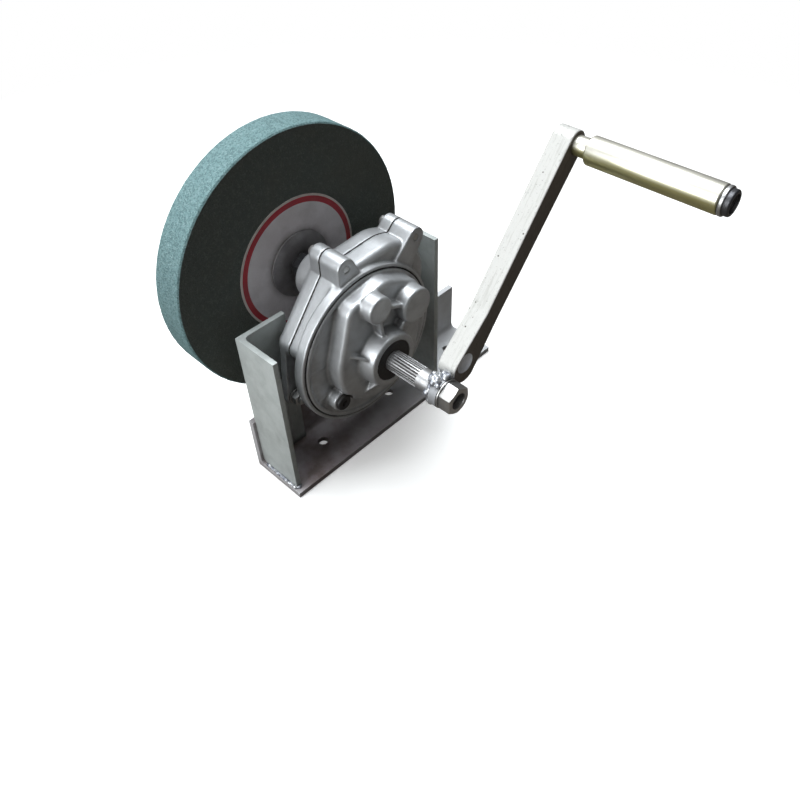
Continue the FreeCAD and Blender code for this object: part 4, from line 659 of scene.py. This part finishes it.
@dataclass(frozen=True)
class BasePaint:
    """Thin grey paint on the base: clean on the feet; between the posts darker, with oil stains and sooty
    blots, and darkest towards the left, which is partly painted shade of the gearbox and posts.
    """

    clean: Colour = (0.56, 0.575, 0.59)
    # The darker tone between the posts, partly oil stain and partly painted shade of the gearbox and posts.
    shaded_oily: Colour = (0.34, 0.31, 0.33)
    # Sooty blots, and the painted shade in corners and towards the left.
    soot_and_shade: Colour = (0.15, 0.11, 0.10)
    bare: Colour = (0.56, 0.55, 0.54)
    metallic: float = 0.15
    blur: float = 0.012
    sway: float = 0.05
    # These two ramps make the painted shade that deepens towards the left.
    shade_gradient: Ramp = (-0.05, 0.10, 0.0, 0.75)
    shade_lean: Ramp = (0.05, -0.07, 0.12, 0.9)
    drift: Cloud = (34.0, 5.0, 0.62)
    blot_cut: Ramp = (0.42, 0.62, 0.15, 0.95)
    gloss: Ramp = (0.3, 0.7, 0.36, 0.6)
    relief: Relief = (1.0, 0.00012)

    def build(self, effects: Effects) -> bpy.types.Material:
        """Make the material from the shared effects."""
        material, t, shader = new_material("base_paint")
        place = t.place()
        across = t.parts(place)["X"]
        drift = t.noise(place, *self.drift)
        skin = t.group(effects.skin, scale=520.0, patch_scale=80.0)
        away = t.math("ADD", t.math("ABSOLUTE", across), t.swing(drift, self.sway))
        between = t.span(away, POST_SIDE + self.blur, POST_SIDE - self.blur, 0.0, 1.0)
        # Painted shade with oil stains: between the posts the paint darkens towards the left.
        shaded_stain = t.mix(t.span(across, *self.shade_gradient), self.shaded_oily, self.clean)
        colour = t.mix(between, self.clean, shaded_stain)
        blots = t.math("MULTIPLY", t.span(drift, *self.blot_cut), between)
        # Sooty blots between the posts, deepened towards the left by painted shade.
        colour = t.mix(t.math("MULTIPLY", blots, t.span(across, *self.shade_lean)), colour, self.soot_and_shade)
        colour = t.over(colour, effects.scratches, self.bare, keep=0.35)
        colour = t.over(colour, effects.edge_wear, self.bare, reach=0.0008, amount=0.6)
        # Painted shade in corners and soiling in patches lie over the paint.
        t.wire(shader, base_color=t.over(colour, effects.grime_and_shade, self.soot_and_shade, corner=0.7, patch=0.15),
               metallic=self.metallic, roughness=t.span(skin.outputs["Patch"], *self.gloss),
               normal=t.bump(skin.outputs["Height"], *self.relief))
        return material


@dataclass(frozen=True)
class GripPlating:
    """Yellow zinc plating on a turned tube, with a painted highlight that makes it paler where it faces up,
    and fine turned rings.
    """

    colour: Colour = (0.62, 0.59, 0.30)
    olive: Colour = (0.46, 0.43, 0.17)
    # pale: a painted highlight, the bright sky reflected on the upper side.
    pale: Colour = (0.84, 0.83, 0.78)
    rubbed: Colour = (0.85, 0.84, 0.80)
    dirt_and_shade: Colour = (0.10, 0.09, 0.06)
    metallic: float = 0.9
    drift: Cloud = (60.0, 4.0, 0.55)
    drift_stretch: Corner = (1.0, 0.35, 1.0)
    drift_cut: Ramp = (0.4, 0.66, 0.0, 0.8)
    turning: Cloud = (1500.0, 2.0, 0.55)
    turning_stretch: Corner = (0.02, 1.0, 0.02)
    sway: float = 0.5
    painted_sheen_cut: Ramp = (-0.05, 0.35, 0.0, 0.85)
    gloss: Ramp = (0.3, 0.7, 0.30, 0.42)
    relief: Relief = (0.12, 0.00001)

    def build(self, effects: Effects) -> bpy.types.Material:
        """Make the material from the shared effects."""
        material, t, shader = new_material("grip_zinc")
        place = t.place()
        drift = t.noise(t.moved(place, scale=self.drift_stretch), *self.drift)
        rings = t.noise(t.moved(place, scale=self.turning_stretch), *self.turning)
        colour = t.mix(t.span(drift, *self.drift_cut), self.colour, self.olive)
        # Painted highlight: the tube turns paler where it faces up.
        above = t.math("ADD", t.facing()["Z"], t.swing(drift, self.sway))
        colour = t.mix(t.span(above, *self.painted_sheen_cut), colour, self.pale)
        colour = t.over(colour, effects.scratches, self.rubbed, keep=0.35, scale=90.0)
        # Painted shade in corners and soiling in patches lie over the plating.
        t.wire(shader, base_color=t.over(colour, effects.grime_and_shade, self.dirt_and_shade, corner=0.7, patch=0.12),
               metallic=self.metallic, roughness=t.span(drift, *self.gloss),
               normal=t.bump(rings, *self.relief))
        return material


@dataclass(frozen=True)
class WeldBead:
    """A rough bead with heat colours."""

    dark: Colour = (0.10, 0.10, 0.11)
    blue: Colour = (0.20, 0.22, 0.27)
    bright: Colour = (0.56, 0.57, 0.58)
    metallic: float = 0.75
    heat: Cloud = (190.0, 4.0, 0.6)
    blue_cut: Ramp = (0.40, 0.60, 0.0, 1.0)
    dark_cut: Ramp = (0.56, 0.68, 0.0, 1.0)
    gloss: Ramp = (0.35, 0.65, 0.26, 0.55)
    ripple: Cloud = (1100.0, 4.0, 0.6)
    relief: Relief = (0.7, 0.0003)

    def build(self, effects: Effects) -> bpy.types.Material:
        """Make the material, which needs none of the shared effects."""
        material, t, shader = new_material("weld")
        place = t.place()
        tint = t.noise(place, *self.heat)
        colour = t.mix(t.span(tint, *self.blue_cut), self.bright, self.blue)
        colour = t.mix(t.span(tint, *self.dark_cut), colour, self.dark)
        t.wire(shader, base_color=colour, metallic=self.metallic, roughness=t.span(tint, *self.gloss),
               normal=t.bump(t.noise(place, *self.ripple), *self.relief))
        return material


FINISHES = (
    # cast_alloy: its bright edges are partly rubbed metal and partly a painted highlight.
    Finish("cast_alloy", (0.54, 0.56, 0.575), (0.46, 0.475, 0.49), 0.68, (0.31, 0.48),
           bare=(0.80, 0.81, 0.82), wear=0.6, dirt_and_shade=(0.065, 0.054, 0.046), corner=0.9, drift=0.14,
           skin_scale=1300.0, skin_height=0.00012, scratch=0.12),
    Finish("post_paint", (0.47, 0.505, 0.495), (0.42, 0.455, 0.445), 0.15, (0.42, 0.62),
           bare=(0.5, 0.5, 0.5), wear=0.5, dirt_and_shade=(0.05, 0.045, 0.04), corner=0.7, drift=0.25,
           skin_scale=420.0, skin_height=0.0001, scratch=0.25),
    Finish("zinc_steel", (0.60, 0.61, 0.62), (0.52, 0.52, 0.50), 0.95, (0.22, 0.42),
           bare=(0.75, 0.75, 0.75), corner=0.8, skin_scale=1500.0, skin_height=0.00004),
    Finish("gear_steel", (0.40, 0.40, 0.41), (0.33, 0.33, 0.33), 0.95, (0.25, 0.45),
           corner=0.7, skin_scale=1400.0, skin_height=0.00004),
    Finish("black_oxide", (0.060, 0.062, 0.070), (0.085, 0.085, 0.09), 0.7, (0.26, 0.46),
           bare=(0.5, 0.5, 0.52), wear=0.8, corner=0.3, skin_scale=1400.0, skin_height=0.00004),
    Finish("flange_steel", (0.30, 0.29, 0.30), (0.22, 0.21, 0.22), 0.6, (0.34, 0.55),
           bare=(0.3, 0.29, 0.3), wear=0.5, corner=0.5, skin_scale=900.0, skin_height=0.00006),
    Finish("brass", (0.62, 0.46, 0.20), (0.50, 0.36, 0.15), 0.95, (0.25, 0.45)),
    Finish("gasket", (0.022, 0.021, 0.020), (0.035, 0.033, 0.030), 0.0, (0.6, 0.85), wear=0.0,
           scratch=0.0),
    Finish("seal_rubber", (0.014, 0.014, 0.014), (0.022, 0.021, 0.020), 0.0, (0.4, 0.65), wear=0.0,
           dirt_and_shade=(0.05, 0.042, 0.035), scratch=0.05),
    Finish("plug_plastic", (0.012, 0.012, 0.013), (0.02, 0.02, 0.021), 0.0, (0.35, 0.55),
           bare=(0.06, 0.06, 0.06), wear=0.4, dirt_and_shade=(0.05, 0.042, 0.035), scratch=0.1),
)


class Wardrobe:
    """Every material, by the name of its slot."""

    def __init__(self) -> None:
        effects = Effects()
        special = (WheelGrit(), LabelPaper(), ArmZinc(), ShaftSteel(), BasePaint(), GripPlating(),
                   WeldBead())
        made = [finish.build(effects) for finish in (*FINISHES, *special)]
        self.by_slot = {material.name.split(".")[0]: material for material in made}

    def dress(self, obj: bpy.types.Object, slot: str) -> None:
        """Give an object the material of a slot.

        Args:
            obj: a CAD node or a new piece.
            slot: the material slot's name.
        """
        obj.data.materials.clear()
        obj.data.materials.append(self.by_slot[slot])


class Workshop:
    """What every sub-assembly needs to make and hand over its pieces.

    Args:
        wardrobe: the materials.
    """

    def __init__(self, frame: dict, wardrobe: Wardrobe) -> None:
        self.nodes = frame["nodes"]
        self.wardrobe = wardrobe
        self.slots = {part["node"]: part["material_slot"] for part in frame["record"]["subparts"]}

    def keep(self, *names: str) -> None:
        """Dress CAD nodes whose own shape is shown.

        Args:
            names: the nodes' names.
        """
        for name in names:
            self.wardrobe.dress(self.nodes[name], self.slots[name])
            LOG.info("kept %s", name)

    def hand_over(self, bm: bmesh.types.BMesh, name: str, body: Body, slot: str,
                  stands_for: Sequence[str] = (), smooth: float = 40.0) -> bpy.types.Object:
        """Turn a finished mesh into a piece of the model.

        Args:
            bm: the mesh, in place; it is freed.
            name: the piece's name.
            body: the body it rides on.
            slot: its material slot.
            stands_for: CAD nodes that it replaces.
            smooth: the angle in degrees above which an edge stays sharp.

        Returns:
            The piece.
        """
        bmesh.ops.recalc_face_normals(bm, faces=bm.faces)
        for face in bm.faces:
            face.smooth = True
        limit = math.radians(smooth)
        for edge in bm.edges:
            edge.smooth = len(edge.link_faces) == 2 and edge.calc_face_angle(0.0) < limit
        mesh = bpy.data.meshes.new(name)
        bm.to_mesh(mesh)
        bm.free()
        obj = bpy.data.objects.new(name, mesh)
        bpy.context.scene.collection.objects.link(obj)
        self.wardrobe.dress(obj, slot)
        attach(obj, body.value)
        if stands_for:
            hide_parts(*stands_for)
        LOG.info("made %s: %d faces", name, len(mesh.polygons))
        return obj

    def solid_copy(self, node: str) -> bmesh.types.BMesh:
        """Return a closed, merged copy of a CAD node's mesh."""
        bm = bmesh.new()
        bm.from_mesh(self.nodes[node].data)
        bmesh.ops.remove_doubles(bm, verts=bm.verts, dist=MERGE_REACH)
        bmesh.ops.dissolve_degenerate(bm, edges=bm.edges, dist=MERGE_REACH)
        return bm

    def eased(self, node: str, width: float, segments: int = 2) -> None:
        """Show a CAD node with its sharp edges eased.

        Args:
            node: the node's name; the piece gets this name with "_eased" after it.
            width: the easing's width.
            segments: how many facets it has.
        """
        bm = self.solid_copy(node)
        bmesh.ops.dissolve_limit(bm, angle_limit=FLAT_LIMIT, verts=bm.verts, edges=bm.edges)
        sharp = [edge for edge in bm.edges
                 if len(edge.link_faces) == 2 and edge.calc_face_angle(0.0) > SHARP_LIMIT]
        bmesh.ops.bevel(bm, geom=sharp, offset=width, offset_type="OFFSET", segments=segments,
                        profile=0.5, affect="EDGES", clamp_overlap=True, material=-1)
        bmesh.ops.triangulate(bm, faces=[face for face in bm.faces if len(face.verts) > 4])
        body = Body(self.nodes[node]["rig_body"])
        self.hand_over(bm, node + "_eased", body, self.slots[node], [node])


def spun(bm: bmesh.types.BMesh, axis: Axis, outline: Iterable[tuple[float, float]],
         steps: int) -> None:
    """Turn a closed outline about an axis along Y.

    Args:
        bm: the mesh that gets the shape.
        axis: the axis.
        outline: radius and level of each corner, in order round the outline.
        steps: how many steps make the full turn.
    """
    verts = [bm.verts.new(axis.at(level) + Vector((radius, 0, 0))) for radius, level in outline]
    edges = [bm.edges.new((verts[i], verts[(i + 1) % len(verts)])) for i in range(len(verts))]
    bmesh.ops.spin(bm, geom=verts + edges, cent=axis.at(0), axis=(0, 1, 0), angle=2 * math.pi,
                   steps=steps, use_merge=True, use_duplicate=False)
    bmesh.ops.remove_doubles(bm, verts=bm.verts, dist=SEAM_REACH)


def remeshed(bm: bmesh.types.BMesh, voxel: float) -> bmesh.types.BMesh:
    """Rebuild a mesh as one skin on a fine grid, which rounds its edges.

    Args:
        bm: the mesh to rebuild; it is freed.
        voxel: the grid's size.

    Returns:
        The new mesh.
    """
    mesh = bpy.data.meshes.new("rebuilt")
    bm.to_mesh(mesh)
    bm.free()
    obj = bpy.data.objects.new("rebuilt", mesh)
    bpy.context.scene.collection.objects.link(obj)
    modifier = obj.modifiers.new("rebuild", "REMESH")
    modifier.mode = "VOXEL"
    modifier.voxel_size = voxel
    graph = bpy.context.evaluated_depsgraph_get()
    done = obj.evaluated_get(graph).to_mesh()
    result = bmesh.new()
    result.from_mesh(done)
    obj.evaluated_get(graph).to_mesh_clear()
    bpy.data.objects.remove(obj)
    bpy.data.meshes.remove(mesh)
    return result


def smoothed(bm: bmesh.types.BMesh, rounds: int, factor: float = 0.5) -> None:
    """Relax a mesh's vertices towards their neighbours a number of times."""
    for _ in range(rounds):
        bmesh.ops.smooth_vert(bm, verts=bm.verts, factor=factor, use_axis_x=True, use_axis_y=True,
                              use_axis_z=True)

def drop(bm: bmesh.types.BMesh, size: float, spot: Vector, height: float = 1.0) -> None:
    """Add a weld drop of a radius, pressed to a share of its height."""
    matrix = Matrix.Translation(spot) @ Matrix.Diagonal((1.0, 1.0, height, 1.0))
    bmesh.ops.create_icosphere(bm, subdivisions=2, radius=size, matrix=matrix)


@dataclass
class CastBox:
    """The gearbox: three castings with softened edges, and what is screwed into them."""

    shop: Workshop
    voxel: float = 0.0009
    relax: int = 3
    smooth: float = 60.0
    castings: tuple[str, ...] = ("front_cover", "front_casing", "rear_casing")
    eased: dict[str, float] = field(default_factory=lambda: {
        "casing_screws": 0.0003, "filler_plug": 0.0004, "mounting_bolts": 0.0003,
        "mounting_nuts": 0.0002, "mounting_washers": 0.0002})
    inside: tuple[str, ...] = (
        "casing_gasket", "cover_gasket", "cover_screws", "crank_seal", "spindle_seal",
        "crank_bearing_outer_rings", "layshaft_bearing_outer_rings", "spindle_bearing_outer_ring",
        "spindle_bush")

    def cast(self, node: str) -> None:
        """Show a casting with the rounded edges and slight unevenness of poured metal.

        Args:
            node: the CAD node that the casting stands for.
        """
        bm = remeshed(self.shop.solid_copy(node), self.voxel)
        smoothed(bm, self.relax)
        self.shop.hand_over(bm, node + "_casting", Body.FRAME, "cast_alloy", [node], smooth=self.smooth)

    def build(self) -> None:
        """Make every piece of the gearbox."""
        for node in self.castings:
            self.cast(node)
        for node, width in self.eased.items():
            self.shop.eased(node, width)
        self.shop.keep(*self.inside)

@dataclass
class Stand:
    """The base, the two posts and the weld beads at their feet."""

    shop: Workshop
    toe: float = 0.0009
    toe_facets: int = 3
    drop_radius: float = 0.0021
    drop_step: float = 0.0017
    drop_sizes: Range = (0.85, 1.2)
    drop_sway: float = 0.0003
    drop_height: float = 0.85
    foot: float = 0.0068
    sunk: float = 0.0055
    side_gap: float = 0.0007
    side_ends: Range = (0.0015, 0.002)
    front_starts: Range = (0.0012, -0.0038)
    front_length: float = 0.0026
    front_level: float = -0.0006
    seed: int = 7

    def bead(self, bm: bmesh.types.BMesh, start: Vector, end: Vector, draw: random.Random) -> None:
        """Lay a run of overlapping weld drops.

        Args:
            bm: the mesh that gets the drops.
            start: the run's first point.
            end: its last point.
            draw: the source of the drops' differences.
        """
        run = end - start
        count = max(2, round(run.length / self.drop_step))
        for index in range(count + 1):
            size = self.drop_radius * draw.uniform(*self.drop_sizes)
            sway = Vector((draw.uniform(-1, 1), draw.uniform(-1, 1), draw.uniform(-0.5, 0.5)))
            drop(bm, size, start + run * (index / count) + sway * self.drop_sway, self.drop_height)

    def build(self) -> None:
        """Make every piece of the stand."""
        for node in ("base_angle", "left_post", "right_post"):
            self.shop.eased(node, self.toe, self.toe_facets)
        _, high = (Vector(corner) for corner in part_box("post_welds"))
        draw = random.Random(self.seed)
        bm = bmesh.new()
        for side in (-1, 1):
            across = side * (POST_SIDE + self.side_gap)
            self.bead(bm, Vector((across, self.side_ends[0], self.foot)),
                      Vector((across, high.y - self.side_ends[1], self.foot)), draw)
        for start in (-POST_SIDE + self.front_starts[0], POST_SIDE + self.front_starts[1]):
            self.bead(bm, Vector((start, self.front_level, self.foot)),
                      Vector((start + self.front_length, self.front_level, self.foot)), draw)
        for vert in bm.verts:
            vert.co.z = max(vert.co.z, self.sunk)
        bm = remeshed(bm, WELD_VOXEL)
        smoothed(bm, 1)
        self.shop.hand_over(bm, "post_weld_beads", Body.FRAME, "weld", ["post_welds"], smooth=WELD_SMOOTH)


@dataclass
class Wheel:
    """The grinding wheel, its labels, flanges and nuts."""

    shop: Workshop
    rings: tuple[float, ...] = (0.016, 0.030, 0.050, 0.0647, 0.080, 0.095, 0.110, 0.119)
    steps: int = 300
    rim_rows: int = 16
    rounding: float = 0.0012
    crumble: float = 0.00028
    crumble_reach: float = 0.003
    crumble_mean: float = 0.55
    crumble_waves: tuple[Range, Range] = ((260.0, 0.6), (900.0, 0.4))
    kept: tuple[str, ...] = (
        "spindle", "spindle_bearing_inner_ring", "wheel_bush", "front_wheel_label",
        "rear_wheel_label")
    eased: dict[str, float] = field(default_factory=lambda: {
        "inner_nut": 0.0003, "outer_nut": 0.0003, "inner_flange": 0.0005, "outer_flange": 0.0005})

    def stone(self) -> None:
        """Make the stone with a dressed, slightly crumbled rim."""
        low, high = (Vector(corner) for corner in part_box("grinding_wheel"))
        radius = (high.x - low.x) / 2
        corner, rows = self.rounding, self.rim_rows
        faces = [*self.rings, radius - corner]
        rim = [low.y + corner + (high.y - low.y - 2 * corner) * row / rows for row in range(rows + 1)]
        outline = [(r, low.y) for r in faces]
        outline += [(radius, level) for level in rim]
        outline += [(r, high.y) for r in reversed(faces)]
        bm = bmesh.new()
        spun(bm, SPINDLE_AXIS, outline, self.steps)
        for vert in bm.verts:
            arm = Vector((vert.co.x - SPINDLE_AXIS.x, 0, vert.co.z - SPINDLE_AXIS.z))
            if arm.length > radius - self.crumble_reach:
                wave = sum(noise.noise(vert.co * scale) * share for scale, share in self.crumble_waves)
                vert.co -= arm.normalized() * self.crumble * (self.crumble_mean + wave)
        self.shop.hand_over(bm, "wheel_stone", Body.WHEEL, "wheel_grit", ["grinding_wheel"])

    def build(self) -> None:
        """Make every piece that turns with the wheel."""
        self.stone()
        for node, width in self.eased.items():
            self.shop.eased(node, width)
        self.shop.keep(*self.kept)


@dataclass
class Crank:
    """The crank's shaft, arm, weld, nut and turning grip."""

    shop: Workshop
    seed: int = 11
    ring_drops: int = 26
    ring_size: Range = (0.0024, 0.0036)
    ring_radius: float = 0.0118
    ring_sway: float = 0.0008
    ring_levels: Range = (0.0008, 0.0030)
    foot_drops: int = 60
    foot_size: Range = (0.0020, 0.0034)
    foot_way: Corner = (0.0247, 0.0, 0.0113)
    foot_spread: Range = (-0.9, 1.75)
    foot_levels: Range = (-0.0068, 0.005)
    foot_reach: Range = (0.0142, 0.0158)
    kept: tuple[str, ...] = (
        "crank_shaft", "crank_gear", "crank_key", "crank_circlip", "crank_bearing_inner_rings",
        "crank_arm")
    eased: dict[str, float] = field(default_factory=lambda: {
        "crank_washer": 0.0003, "crank_nut": 0.0005, "grip_bolt": 0.0003, "grip_collar": 0.0005,
        "grip_washer": 0.0006, "grip_sleeve": 0.0004})

    def weld(self) -> None:
        """Make the lumpy weld that joins the arm's hub to the shaft."""
        draw = random.Random(self.seed)
        bm = bmesh.new()
        low, _ = (Vector(corner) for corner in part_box("hub_weld"))
        for index in range(self.ring_drops):
            turn = 2 * math.pi * index / self.ring_drops
            size = draw.uniform(*self.ring_size)
            reach = self.ring_radius + draw.uniform(-self.ring_sway, self.ring_sway)
            drop(bm, size, Vector((math.cos(turn) * reach, low.y + draw.uniform(*self.ring_levels),
                                   CRANK_AXIS.z + math.sin(turn) * reach)))
        foot = Vector(self.foot_way).normalized()
        side = Vector((-foot.z, 0, foot.x))
        for _ in range(self.foot_drops):
            size = draw.uniform(*self.foot_size)
            turn = draw.uniform(*self.foot_spread)
            reach = foot * math.cos(turn) + side * math.sin(turn)
            level = low.y + draw.uniform(*self.foot_levels)
            drop(bm, size, CRANK_AXIS.at(level) + reach * draw.uniform(*self.foot_reach))
        bm = remeshed(bm, WELD_VOXEL)
        smoothed(bm, 2)
        self.shop.hand_over(bm, "hub_weld_bead", Body.CRANK, "weld", ["hub_weld"], smooth=WELD_SMOOTH)

    def build(self) -> None:
        """Make every piece that turns with the crank."""
        self.weld()
        for node, width in self.eased.items():
            self.shop.eased(node, width)
        self.shop.keep(*self.kept)


@dataclass(frozen=True)
class Lamp:
    """A square soft lamp that points at the gearbox.

    Args:
        name: its name.
        place: where it stands.
        side: its side.
        power: its power, in watts.
        colour: its light's colour.
        aim: the point that it faces.
    """

    name: str
    place: Corner
    side: float
    power: float
    colour: Colour
    aim: Corner = (0.0, 0.0, 0.15)

    def build(self) -> None:
        """Add the lamp to the scene."""
        data = bpy.data.lights.new(self.name, "AREA")
        data.shape = "SQUARE"
        data.size = self.side
        data.energy = self.power
        data.color = self.colour
        obj = bpy.data.objects.new(self.name, data)
        obj.location = self.place
        obj.rotation_euler = (Vector(self.aim) - obj.location).to_track_quat("-Z", "Y").to_euler()
        bpy.context.scene.collection.objects.link(obj)


@dataclass
class Studio:
    """The camera at the photograph's angle, soft lamps, a pale floor and the world."""

    eye: Corner = (-0.3426, -0.3941, 0.5821)
    yaw: float = math.radians(-46.05)
    pitch: float = math.radians(-44.42)
    roll: float = math.radians(-1.16)
    focal_pixels: float = 751.96
    centre_pixels: tuple[float, float] = (415.55, 383.73)
    sensor: float = 36.0
    floor_colour: Colour = (0.90, 0.90, 0.89)
    floor_bounce: Colour = (0.115, 0.102, 0.090)
    floor_reach: float = 12.0
    floor_sunk: float = 0.0002
    floor_rough: float = 0.9
    floor_glow: float = 0.25
    fade_start: float = 0.55
    fade_end: float = 1.1
    sky_ramp: Ramp = (-0.1, 0.70, 0.11, 0.80)
    side_ramp: Ramp = (-0.75, 0.35, 0.07, 1.0)
    side_lean: float = -0.55
    lamps: tuple[Lamp, ...] = (
        Lamp("window", (-1.9, 0.3, 0.8), 1.3, 30.0, (0.95, 0.98, 1.0)),
        Lamp("sky", (0.1, 0.7, 2.3), 1.6, 74.0, (0.93, 0.97, 1.0)),
    )

    def camera(self) -> None:
        """Set the camera from the photograph's solved view."""
        forward = Vector((-math.sin(self.yaw) * math.cos(self.pitch),
                          math.cos(self.yaw) * math.cos(self.pitch), math.sin(self.pitch)))
        level = forward.cross(Vector((0, 0, 1))).normalized()
        upright = level.cross(forward)
        right = level * math.cos(self.roll) + upright * math.sin(self.roll)
        up = upright * math.cos(self.roll) - level * math.sin(self.roll)
        data = bpy.data.cameras.new("camera")
        data.sensor_width = self.sensor
        data.lens = self.focal_pixels * self.sensor / IMAGE_SIDE
        data.shift_x = (IMAGE_SIDE / 2 - self.centre_pixels[0]) / IMAGE_SIDE
        data.shift_y = (self.centre_pixels[1] - IMAGE_SIDE / 2) / IMAGE_SIDE
        data.clip_start = 0.01
        obj = bpy.data.objects.new("camera", data)
        turn = Matrix((right, up, -forward)).transposed().to_4x4()
        obj.matrix_world = Matrix.Translation(self.eye) @ turn
        bpy.context.scene.collection.objects.link(obj)
        bpy.context.scene.camera = obj

    def floor(self) -> None:
        """Lay the plain pale floor, white to the camera where no shadow falls."""
        bm = bmesh.new()
        bmesh.ops.create_grid(bm, x_segments=1, y_segments=1, size=self.floor_reach)
        mesh = bpy.data.meshes.new("floor")
        bm.to_mesh(mesh)
        bm.free()
        obj = bpy.data.objects.new("floor", mesh)
        obj.location = (0.0, 0.0, -self.floor_sunk)
        bpy.context.scene.collection.objects.link(obj)
        material, t, shader = new_material("floor_pale")
        camera = t.node("LightPath").outputs["Is Camera Ray"]
        far = t.span(t.length(t.place()), self.fade_start, self.fade_end, 0.0, 1.0)
        seen = t.mix(far, self.floor_colour, BLACK)
        glow = t.span(far, 0.0, 1.0, self.floor_glow, 1.0)
        t.wire(shader, base_color=t.mix(camera, self.floor_bounce, seen), roughness=self.floor_rough,
               emission_color=rgba(WHITE), emission_strength=t.math("MULTIPLY", camera, glow))
        t.feed(shader.inputs["Specular IOR Level"], 0.0)
        obj.data.materials.append(material)

    def world(self) -> None:
        """Light from all round, stronger from above."""
        world = bpy.data.worlds.new("studio")
        bpy.context.scene.world = world
        world.use_nodes = True
        world.node_tree.nodes.clear()
        t = Tree(world.node_tree)
        output = t.node("OutputWorld")
        back = t.node("Background")
        way = t.parts(t.node("TexCoord").outputs["Generated"])
        side = t.math("ADD", t.math("MULTIPLY", way["X"], self.side_lean), way["Y"])
        strength = t.math("MULTIPLY", t.span(way["Z"], *self.sky_ramp), t.span(side, *self.side_ramp))
        seen = t.node("LightPath").outputs["Is Camera Ray"]
        t.wire(back, color=rgba(WHITE), strength=t.math("MAXIMUM", strength, seen))
        t.feed(output.inputs["Surface"], back.outputs[0])

    def build(self) -> None:
        """Make the whole studio."""
        self.camera()
        self.floor()
        self.world()
        for lamp in self.lamps:
            lamp.build()
        bpy.context.scene.view_settings.view_transform = "Standard"


@dataclass
class Inside:
    """The gear train and the bearings' rolling pieces, which the castings hide."""

    shop: Workshop
    nodes: tuple[str, ...] = (
        "layshaft", "layshaft_gear", "layshaft_key", "layshaft_spacer",
        "layshaft_bearing_inner_rings", "crank_bearing_balls", "crank_bearing_cages",
        "layshaft_bearing_balls", "layshaft_bearing_cages", "spindle_bearing_balls",
        "spindle_bearing_cage")

    def build(self) -> None:
        """Dress every hidden node."""
        self.shop.keep(*self.nodes)


def main() -> None:
    """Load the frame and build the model."""
    logging.basicConfig(level=logging.INFO, format="%(name)s: %(message)s")
    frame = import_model()
    Studio().build()
    shop = Workshop(frame, Wardrobe())
    for assembly in (CastBox(shop), Stand(shop), Wheel(shop), Crank(shop), Inside(shop)):
        assembly.build()


if __name__ == "__main__":
    main()
